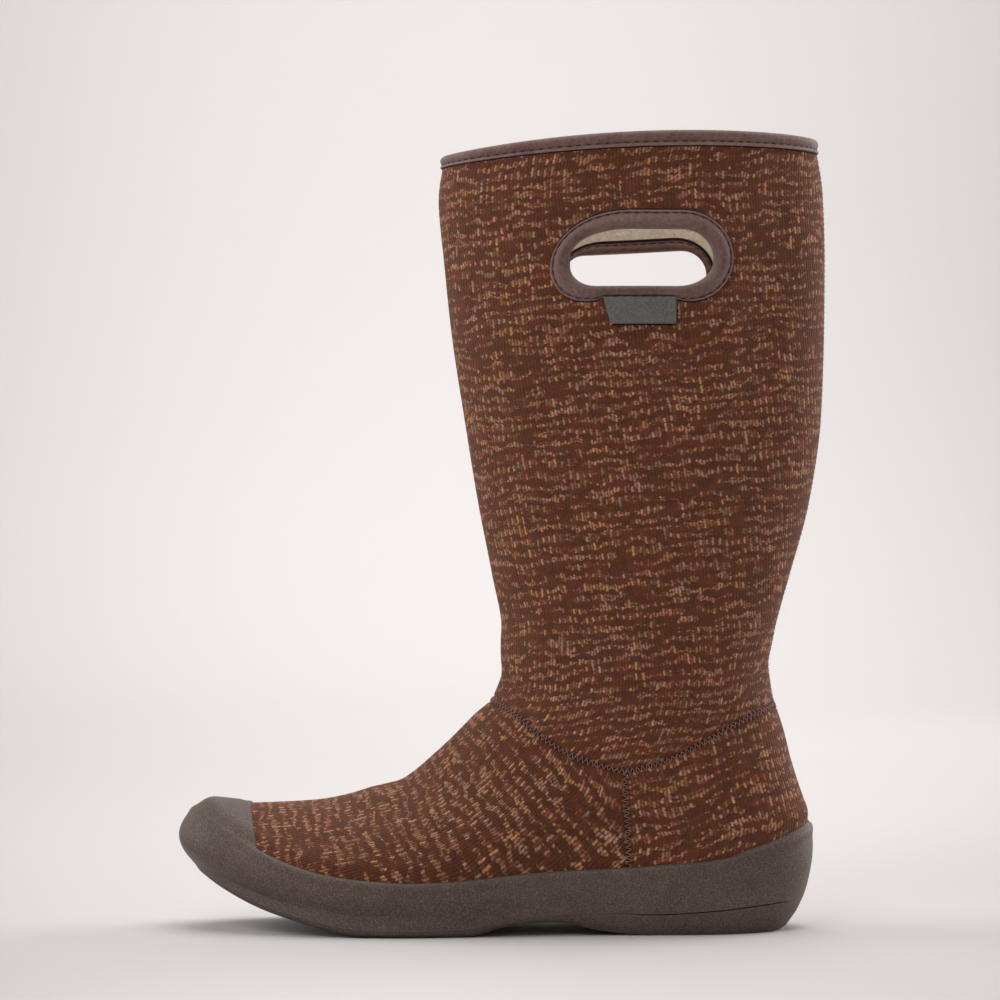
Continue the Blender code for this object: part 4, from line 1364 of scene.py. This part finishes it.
@dataclass(frozen=True)
class Loop:
    """A loop with four corners, each a quarter of an oval: back top, front top and so on."""

    half_x: float
    half_z: float
    corners: tuple[tuple[float, float], ...]
    x: float = 0.0
    z: float = 0.0

    def points(self, steps: int = 14, runs: int = 16) -> np.ndarray:
        """Points round the loop, from the back end of its top."""
        signs = ((1, 1), (-1, 1), (-1, -1), (1, -1))
        arcs = []
        for number, ((sx, sz), (rx, rz)) in enumerate(zip(signs, self.corners)):
            angle = (number + np.linspace(0, 1, steps)) * math.pi / 2
            arcs.append(np.stack([sx * (self.half_x - rx) + rx * np.cos(angle),
                                  sz * (self.half_z - rz) + rz * np.sin(angle)], axis=1))
        points = []
        for arc, following in zip(arcs, arcs[1:] + arcs[:1]):
            share = np.linspace(0, 1, runs + 2)[1:-1, None]
            points += [arc, arc[-1] * (1 - share) + following[0] * share]
        return np.concatenate(points) + (self.x, self.z)


class Sewing(NamedTuple):
    """A row of stitches on a handle's band, and a dark tube of painted shadow along the band's
    edge.
    """

    share: float
    lift: float
    edge: float
    edge_lift: float
    line: float


@dataclass(frozen=True)
class Handle:
    """A pull handle: a slot in the shaft with a padded binding sewn round it."""

    name: str
    replaced: str
    side: Side
    x: float
    z: float
    opening: Loop = Loop(31.95, 12.35, ((14, 12.35), (26, 12.35), (12, 8.4), (17, 11.4)))
    outside: Loop = Loop(39.4, 19.6, ((22, 19.6), (34, 25.0), (14, 14.0), (18, 19.6)), -0.2, 0.75)
    tilt: float = 0.0           # how much it rises towards the heel
    notch: float = 0.0          # how far the band is narrower above the label
    notch_middle: float = -1.9
    notch_half: float = 17.0
    cut_share: float = 0.22
    plug_reach: float = 6.0     # how far the cut goes past the wall on both sides
    lap: float = 0.8            # step where the strip's ends meet, low at the back
    lap_x: float = 28.4
    section: tuple[Bend, ...] = (
        Bend(1.0, 0.10, 1), Bend(1.0, 0.85, 1), Bend(0.975, 1.15, 1), Bend(0.925, 1.20, 1),
        Bend(0.895, 0.90), Bend(0.870, 0.62), Bend(0.835, 0.66), Bend(0.79, 1.05),
        Bend(0.72, 1.75), Bend(0.62, 2.45), Bend(0.50, 2.90), Bend(0.38, 3.00),
        Bend(0.26, 2.75), Bend(0.16, 2.25), Bend(0.07, 1.45),
        Bend(0.02, 0.60), Bend(0.0, -0.8), Bend(0.0, -WALL + 0.4), Bend(0.03, -WALL - 0.7),
        Bend(0.09, -WALL - 1.5), Bend(0.19, -WALL - 1.9), Bend(0.31, -WALL - 1.8),
        Bend(0.41, -WALL - 1.3), Bend(0.47, -WALL - 0.9), Bend(0.51, -WALL - 1.1),
        Bend(0.58, -WALL - 1.0), Bend(0.62, -WALL - 0.2), Bend(0.24, -WALL - 0.1),
        Bend(0.24, 0.1),
    )
    # stitches outside and inside, each with a tube of painted shadow along the band's edge
    sewing: tuple[Sewing, ...] = (Sewing(0.865, 0.72, 1.03, 0.05, 0.4),
                                  Sewing(0.48, -WALL - 1.05, 0.65, -WALL - 0.3, 0.8))

    def outline(self, share: float) -> np.ndarray:
        """The handle's outline at a share of the way from its opening to its outer edge."""
        inside, outside = self.opening.points(), self.outside.points()
        near = ease((self.notch_half + 2 - np.abs(outside[:, 0] - self.notch_middle)) / 3.0)
        outside[:, 1] += np.where(outside[:, 1] < 0, self.notch * near, 0.0)
        return inside * (1 - share) + outside * share

    def ring(self, share: float, lift: float) -> np.ndarray:
        """A ring round the handle that follows the wall."""
        x, z = self.outline(share).T
        if lift > 0.4:
            lift = lift + self.lap * ease((x - self.lap_x) / 0.7) * ease(-(z - 6.0) / 9.0)
        return Form.side_point(self.side.value, self.x + x, self.z + z + self.tilt * x, lift)

    def cut(self, shaft: bpy.types.Object) -> None:
        """Cuts the handle's slot through the shaft."""
        bench = Workbench(self.name + "_plug")
        bench.ring(np.stack([self.ring(self.cut_share, self.plug_reach),
                             self.ring(self.cut_share, -WALL - self.plug_reach)]))
        bench.weld()
        bench.cap()
        bmesh.ops.recalc_face_normals(bench.bm, faces=bench.bm.faces)
        plug = add_object(bench.name, bench.bm)
        cut = shaft.modifiers.new("slot", "BOOLEAN")
        cut.operation, cut.solver, cut.object = "DIFFERENCE", "EXACT", plug
        whole = shaft.data
        shaft.data = bpy.data.meshes.new_from_object(
            shaft.evaluated_get(bpy.context.evaluated_depsgraph_get()))
        shaft.modifiers.clear()
        bpy.data.meshes.remove(whole)
        mesh = plug.data
        bpy.data.objects.remove(plug)
        bpy.data.meshes.remove(mesh)

    def dress(self) -> None:
        """Makes the padded band, sews its outer edge and lays dark tubes of painted shadow along
        the band's edges.
        """
        bench = Workbench(self.name)
        bench.band(self.section, self.ring)
        bench.done((BINDING, BINDING_LIP), "binding", (self.replaced,))
        bench = Workbench(self.name + "_stitches")
        for share, lift, edge, edge_lift, line in self.sewing:
            path, rim = self.ring(share, lift), self.ring(edge, edge_lift)
            up = np.sign(lift) * (self.ring(share, 1.0) - self.ring(share, 0.0))
            path, rim, up = (np.concatenate([row, row[:1]]) for row in (path, rim, up))
            StitchRow().sew(bench, path, up)
            # painted shadow: a dark tube along the band's edge
            bench.tube(rim, line, up, material=1)
        bench.done((THREAD, SHADOW), "binding")


HANDLES = (
    Handle("outer_handle_band", "outer_handle_binding", Side.OUTER, 60.6, 294.0, notch=1.2),
    Handle("inner_handle_band", "inner_handle_binding", Side.INNER, 61.5, 288.9,
           Loop(32.7, 12.35, ((13, 12), (9, 7), (10, 10), (13, 11.5)), -0.7),
           Loop(38.4, 19.6, ((22, 19.6), (28, 19.6), (14, 14), (18, 19.6)), -1.2, 0.75),
           tilt=0.05),
)


@dataclass(frozen=True)
class Label:
    """The bare rubber tab below the outer handle."""

    name: str = "rubber_label_tab"
    front_top: float = 43.8
    back_top: float = 75.0
    front_bottom: float = 46.8
    back_bottom: float = 75.0
    top: float = 276.9
    bottom: float = 265.3
    thickness: float = 2.4
    corner: float = 1.3
    columns: int = 46
    rows: int = 20
    shade_points: int = 40      # along the tube of painted shadow below the tab

    def dress(self) -> None:
        """Makes the tab as a thin slab with softened edges, and a dark tube of painted shadow below
        it.
        """
        across = crowd(self.columns, 0.8)
        down = crowd(self.rows, 0.8)[:, None]
        front = self.front_top + (self.front_bottom - self.front_top) * down
        back = self.back_top + (self.back_bottom - self.back_top) * down
        x = front + (back - front) * across
        z = np.broadcast_to(self.top - (self.top - self.bottom) * down, x.shape).copy()
        side = np.minimum(x - front, back - x)
        round_in = np.clip(1 - side / self.corner, 0, 1)
        z += down ** 8 * self.corner * (1 - np.sqrt(1 - round_in ** 2))
        edge = np.minimum(side, z - self.bottom)
        lift = (self.thickness - 0.5 * (1 - ease(edge / 0.7)) - 0.30 * ease((edge - 0.9) / 0.7)
                + 0.15)
        points = Form.side_point(Side.OUTER.value, x, z, lift)
        under = Form.side_point(Side.OUTER.value, x, z, 0.05)
        bench = Workbench(self.name)
        bench.sheet(points, np.stack([x, z], axis=-1), inner=under)
        # painted shadow: a dark tube along the tab's lower edge
        foot = np.linspace(self.front_bottom + 0.9, self.back_bottom - 0.7, self.shade_points)
        line = Form.side_point(Side.OUTER.value, foot, np.full(len(foot), self.bottom - 0.15), 0.3)
        bench.tube(line, 0.6, np.tile((0.0, -1.0, 0.0), (len(foot), 1)), material=1)
        bench.done((TAB_RUBBER, SHADOW), "tab", ("label_tab",))


# ---------------------------------------------------------------- rubber and insole
def turns_round(columns: int) -> np.ndarray:
    """Turns round the sole that mirror each other about its middle line."""
    half = (np.arange(columns + 1) / columns) * math.pi
    return np.concatenate([half, FULL_TURN - half[-2:0:-1]])


def two_sides(ring: np.ndarray, columns: int) -> tuple[np.ndarray, np.ndarray]:
    """A ring's points from toe to heel, along its inner side and along its outer side."""
    return ring[:columns + 1], np.concatenate([ring[:1], ring[columns:][::-1]])


@dataclass(frozen=True)
class Shell:
    """The rubber sidewall and toe cap in one."""

    name: str = "rubber_shell"
    columns: int = 340
    rows: int = 54
    edge: float = 1.2
    full: float = 3.6
    taper: float = 15.0
    corner_x: float = -106.6
    corner_z: float = 36.6
    corner_turns: tuple[float, ...] = (33.0, 34.0, 34.8, 35.2, 35.6, 36.4)     # in degrees
    lean: float = 0.27
    flush: float = 0.45         # thickness at the cap's rear edge
    dome: float = 1.6           # how much thicker the cap's top is at its middle
    nose: float = 0.5           # and how much more at its very front
    crown: float = 0.2          # how much fuller the cap is at its upper front
    chin: float = 0.5           # and low at its front
    heel: float = 0.5           # how far the wall swells low round the heel
    draw: float = 0.16          # share of the height over which it draws in to the sole
    fold_x: float = 103.0       # the wall's edge steps up by this much from here back
    fold: float = 0.6
    ridge: float = 0.7          # the bead along the wall's top line
    ridge_width: float = 2.2
    cap_step: float = 3.6       # a second faint line this far ahead of the cap's rear edge

    def past_edge(self, points: np.ndarray) -> np.ndarray:
        """Below zero where the rubber covers a point."""
        x, z = points[..., 0], points[..., 2]
        cap_edge = self.corner_x - self.lean * (z - self.corner_z)
        edge = Form.height("wall_top", x) + self.fold * ease((x - self.fold_x + 2.0) / 4.0)
        return np.where(x < cap_edge, x - cap_edge, z - edge)

    def thickness(self, points: np.ndarray) -> np.ndarray:
        """Rubber thickness: thin on the cap's top, full low on the wall, with a soft bead."""
        x, z = points[..., 0], points[..., 2]
        under = Form.height("wall_top", x) - z
        ahead = self.corner_x - self.lean * (z - self.corner_z) - x
        build = 1 - (1 - np.clip(under / self.taper, 0, 1)) ** 2
        bead = self.ridge * np.exp(-((under - 2.0) / self.ridge_width) ** 2)
        dome = self.dome * ease(ahead / 20.0) * np.exp(-np.clip(under, 0, None) / 12.0)
        nose = self.nose * ease(-(x + 118.0) / 22.0)
        nose = nose + self.crown * np.exp(-((x + 133.0) / 8.0) ** 2 - ((z - 51.0) / 8.0) ** 2)
        nose = nose + self.chin * ease(-(x + 118.0) / 12.0) * np.exp(-((z - 33.0) / 6.0) ** 2)
        heel = self.heel * ease((x - 104.0) / 26.0) * np.exp(-((z - 17.0) / 10.0) ** 2)
        line = 0.35 * np.exp(-((ahead - self.cap_step) / 0.8) ** 2) * ease(-under / 3.0)
        line += 0.40 * np.exp(-((under - 0.4) / 0.8) ** 2) * ease((x + 131.0) / 8.0) * ease(
            (-109.0 - x) / 5.0)
        edge = self.flush + (self.edge - self.flush) * np.where(under > 0, 1, ease(ahead / 6.0))
        return edge + (self.full - self.edge) * build + bead + dome + nose + heel - line

    def dress(self) -> None:
        """Makes the shell with its rounded upper edge."""
        even = np.arange(self.columns) * FULL_TURN / self.columns
        corner = np.radians(self.corner_turns)
        turn = np.sort(np.concatenate([even, corner, FULL_TURN - corner]))
        top = Form.solve_level(turn, self.past_edge, 0.2, 6.0)
        rate = 0.02 / np.linalg.norm(Form.skin(turn, top) - Form.skin(turn, top - 0.02), axis=1)
        drops = (0.0, 0.0, 0.1, 0.3, 0.6, 1.0, 1.6)
        lifts = (0.0, 0.25, 0.55, 0.78, 0.90, 0.97, 1.0)
        levels = [top - rate * drop for drop in drops]
        outer = [Form.lifted(turn, level, 0.05 + lift * (GAP + self.thickness(
            Form.skin(turn, level)))) for level, lift in zip(levels, lifts)]
        x, y = Form.sole_outline(PARTING, turn)
        slit = 0.1 + 0.4 * ease((x - 42.0) / 26.0) * ease((128.0 - x) / 8.0)
        bottom = np.stack([x, y, Form.parting(x, y) + slit], axis=1)
        foot = Form.lifted(turn, 0.0 * top, GAP + self.thickness(Form.skin(turn, 0.0 * top)))
        inner = []
        for share in np.linspace(1.0, 0.0, self.rows)[1:-1] ** 1.15:
            level = levels[-1] * share
            wall = Form.lifted(turn, level, GAP + self.thickness(Form.skin(turn, level)))
            outer.append(wall + (bottom - foot) * np.clip(1 - share / self.draw, 0, 1) ** 1.6)
            inner.append(Form.lifted(turn, level, 0.05))
        foot = Form.foot_ring(turn, 0.1, 0.0)
        foot[:, 2] = Form.parting(foot[:, 0], foot[:, 1]) + 0.1
        rings = outer + [bottom, foot] + inner[::-1] + outer[:1]
        bench = Workbench(self.name)
        bench.ring(np.stack(rings))
        bench.done((RUBBER,), "shell_rubber", ("sidewall_toe_cap",), sharp=60.0)


class Tread(NamedTuple):
    """A set of bowed grooves across the underside."""

    name: str
    first_x: float
    last_x: float
    count: int


@dataclass(frozen=True)
class Outsole:
    """The grooved sole."""

    name: str = "grooved_sole"
    columns: int = 300
    strips: int = 61
    depth: float = 2.2
    groove: float = 3.6
    rim: float = 7.5
    bow: float = 7.0
    sipe_depth: float = 0.8
    sipe_width: float = 0.9
    treads: tuple[Tread, ...] = (Tread("forefoot", -92.0, -14.0, 9), Tread("heel", 66.0, 108.0, 5))

    def cut_depth(self, x: np.ndarray, y: np.ndarray, inside: np.ndarray,
                  across: np.ndarray) -> np.ndarray:
        """How deep the grooves and fine sipes are at a place on the underside."""
        deep = np.zeros_like(x)
        rim = ease((inside - self.rim + 1.0) / 2.0)
        arc = x + self.bow * (1 - across ** 2)
        for tread in self.treads:
            pitch = (tread.last_x - tread.first_x) / (tread.count - 1)
            for number in range(tread.count):
                off = np.abs(arc - tread.first_x - pitch * number)
                deep = np.maximum(deep, self.depth * ease((self.groove / 2 + 0.5 - off) / 0.9))
                middle = np.abs(off - pitch / 2)
                fine = self.sipe_depth * ease((self.sipe_width - middle) / 0.6)
                deep = np.maximum(deep, np.where(np.abs(across) < 0.55, fine, 0.0)
                                  * (number < tread.count - 1))
        return deep * rim

    def dress(self) -> None:
        """Makes the rim, the bed and the grooved underside."""
        turn = turns_round(self.columns)

        def sole_ring(level: Level, share: float) -> np.ndarray:
            """A ring of the sole at one outline."""
            x, y = Form.sole_outline(level, turn)
            z = Form.underside(x, y) * (1 - share) + Form.parting(x, y) * share
            return np.stack([x, y, z], axis=1)

        low, edge, top = (sole_ring(level, level.share)
                          for level in (TREAD_EDGE, SOLE_EDGE, PARTING))
        soft = [low * (1 - s) + edge * s for s in (0.0, 0.25, 0.55, 0.8)]
        step = Form.foot_ring(turn, 0.0, 0.0)
        bed = step.copy()
        step[:, 2] = Form.parting(step[:, 0], step[:, 1])
        inner = Form.foot_ring(turn, -WALL, 0.0)
        inner[:, 2] = Form.height("bed", inner[:, 0])
        rings = soft + [edge, (edge + top) / 2, top * 0.96 + step * 0.04, step, bed, inner]
        bench = Workbench(self.name)
        bench.ring(np.stack(rings))
        across = np.linspace(-1, 1, self.strips)
        one, other = two_sides(low, self.columns)
        width = (one[:, 1] - other[:, 1])[:, None] / 2
        middle = (one[:, 1] + other[:, 1])[:, None] / 2
        x = np.broadcast_to(one[:, :1], (len(one), self.strips))
        y = middle + width * across
        inside = np.minimum(width * (1 - np.abs(across)),
                            np.minimum(x - low[:, 0].min(), low[:, 0].max() - x))
        z = Form.underside(x, y) + self.cut_depth(x, y, inside, across)
        bench.sheet(np.stack([x, y, z], axis=-1))
        bench.weld(0.01)
        bench.cap()
        bench.done((SOLE_RUBBER,), "sole_rubber", ("outsole",), sharp=45.0)


@dataclass(frozen=True)
class Insole:
    """The fleece-covered footbed."""

    name: str = "fleece_footbed"
    columns: int = 120
    strips: int = 40
    thickness: float = 4.0

    def dress(self) -> None:
        """Makes the footbed with a softly rounded edge and a slight dish."""
        turn = turns_round(self.columns)
        rings = [Form.foot_ring(turn, -WALL - GAP - inset, rise) for inset, rise in
                 ((2.0, 0.1), (0.0, 0.1), (0.0, 2.6), (0.3, 3.4), (1.0, self.thickness))]
        bench = Workbench(self.name)
        bench.ring(np.stack(rings))
        one, other = two_sides(rings[-1], self.columns)
        across = np.linspace(0, 1, self.strips)[None, :, None]
        field = other[:, None] * (1 - across) + one[:, None] * across
        dish = np.sin(across[..., 0] * math.pi) * np.sin(turn[:self.columns + 1])[:, None]
        field[..., 2] = Form.height("bed", field[..., 0]) + self.thickness - 0.9 * dish
        bench.sheet(field)
        bench.weld(0.01)
        bench.cap()
        bench.done((FLEECE,), "footbed", ("insole",))


# ---------------------------------------------------------------- studio
@dataclass(frozen=True)
class Lamp:
    """A soft square lamp aimed at the boot."""

    name: str
    x: float
    y: float
    z: float
    size: float
    power: float
    color: Color = (1.0, 0.985, 0.97)
    aim_y: float = 0.0
    aim_z: float = 0.15

    def place(self) -> None:
        """Adds the lamp."""
        light = bpy.data.lights.new(self.name, "AREA")
        light.shape, light.size = "SQUARE", self.size
        light.energy, light.color = self.power, self.color
        lamp = bpy.data.objects.new(self.name, light)
        lamp.location = (self.x, self.y, self.z)
        aim = Vector((0.0, self.aim_y, self.aim_z)) - lamp.location
        lamp.rotation_euler = aim.to_track_quat("-Z", "Y").to_euler()
        bpy.context.scene.collection.objects.link(lamp)


@dataclass(frozen=True)
class Studio:
    """The pale round sweep, the lamps and the camera."""

    flat: float = 1.95          # how far out the floor is flat
    bend: float = 1.3           # radius of its curve up into the wall
    height: float = 4.0
    camera_x: float = -0.0009
    camera_y: float = -1.75
    camera_z: float = 0.1892
    lens: float = 142.19
    lamps: tuple[Lamp, ...] = (
        Lamp("left", -1.6, 0.3, 0.9, 1.3, 13.0),
        Lamp("right", 1.6, 0.95, 0.7, 1.3, 23.0),
        Lamp("top", 0.15, 0.3, 1.9, 1.6, 27.0),
        Lamp("front", -0.5, -1.1, 1.0, 0.7, 5.2, aim_z=0.26),
        Lamp("wall", 0.0, 1.75, 2.1, 1.4, 19.5, aim_y=3.2, aim_z=0.2),
    )
    sky: Color = (0.86, 0.845, 0.84)
    sky_strength: float = 0.21

    def sweep(self) -> None:
        """Adds the round floor, which curves up into a wall all round."""
        shape = bmesh.new()
        places = [(reach, 0.0) for reach in np.linspace(0.0, self.flat, 24)]
        for angle in np.linspace(0, math.pi / 2, 24)[1:]:
            places.append((self.flat + self.bend * math.sin(angle),
                           self.bend * (1 - math.cos(angle))))
        places.append((self.flat + self.bend, self.height))
        points = [shape.verts.new((0.0, reach, z)) for reach, z in places]
        edges = [shape.edges.new(pair) for pair in zip(points, points[1:])]
        bmesh.ops.spin(shape, geom=points + edges, axis=(0, 0, 1), cent=(0, 0, 0), angle=FULL_TURN,
                       steps=128, use_merge=True)
        bmesh.ops.remove_doubles(shape, verts=shape.verts, dist=1e-5)
        bmesh.ops.recalc_face_normals(shape, faces=shape.faces)
        if min(shape.faces, key=lambda face: face.calc_center_median().z).normal.z < 0:
            bmesh.ops.reverse_faces(shape, faces=shape.faces)
        floor = add_object("studio_sweep", shape)
        floor.data.shade_smooth()
        floor.data.materials.append(PAINT.material())

    def light(self) -> None:
        """Adds the lamps and the pale surroundings."""
        for lamp in self.lamps:
            lamp.place()
        world = bpy.data.worlds.new("pale_room")
        world.use_nodes = True
        room = world.node_tree.nodes["Background"]
        room.inputs["Color"].default_value = (*self.sky, 1.0)
        room.inputs["Strength"].default_value = self.sky_strength
        bpy.context.scene.world = world

    def camera(self) -> None:
        """Adds the camera, square to the outer side."""
        data = bpy.data.cameras.new("camera")
        data.lens, data.sensor_width = self.lens, 36.0
        camera = bpy.data.objects.new("camera", data)
        camera.location = (self.camera_x, self.camera_y, self.camera_z)
        camera.rotation_euler = (math.pi / 2, 0.0, 0.0)
        bpy.context.scene.collection.objects.link(camera)
        bpy.context.scene.camera = camera
        bpy.context.scene.view_settings.view_transform = "Standard"


def main() -> None:
    """Builds every piece of the boot and the studio round it."""
    logging.basicConfig(level=logging.INFO, format="%(name)s: %(message)s")
    for piece in (ShaftPanel("knit_shaft", 120, 220), VampPanel("knit_vamp", 100, 190),
                  HeelPanel("knit_heel", 60, 130), SeamWork(), CollarBinding(), *HANDLES,
                  Label(), Shell(), Outsole(), Insole()):
        piece.dress()
    studio = Studio()
    studio.sweep()
    studio.light()
    studio.camera()


if __name__ == "__main__":
    main()
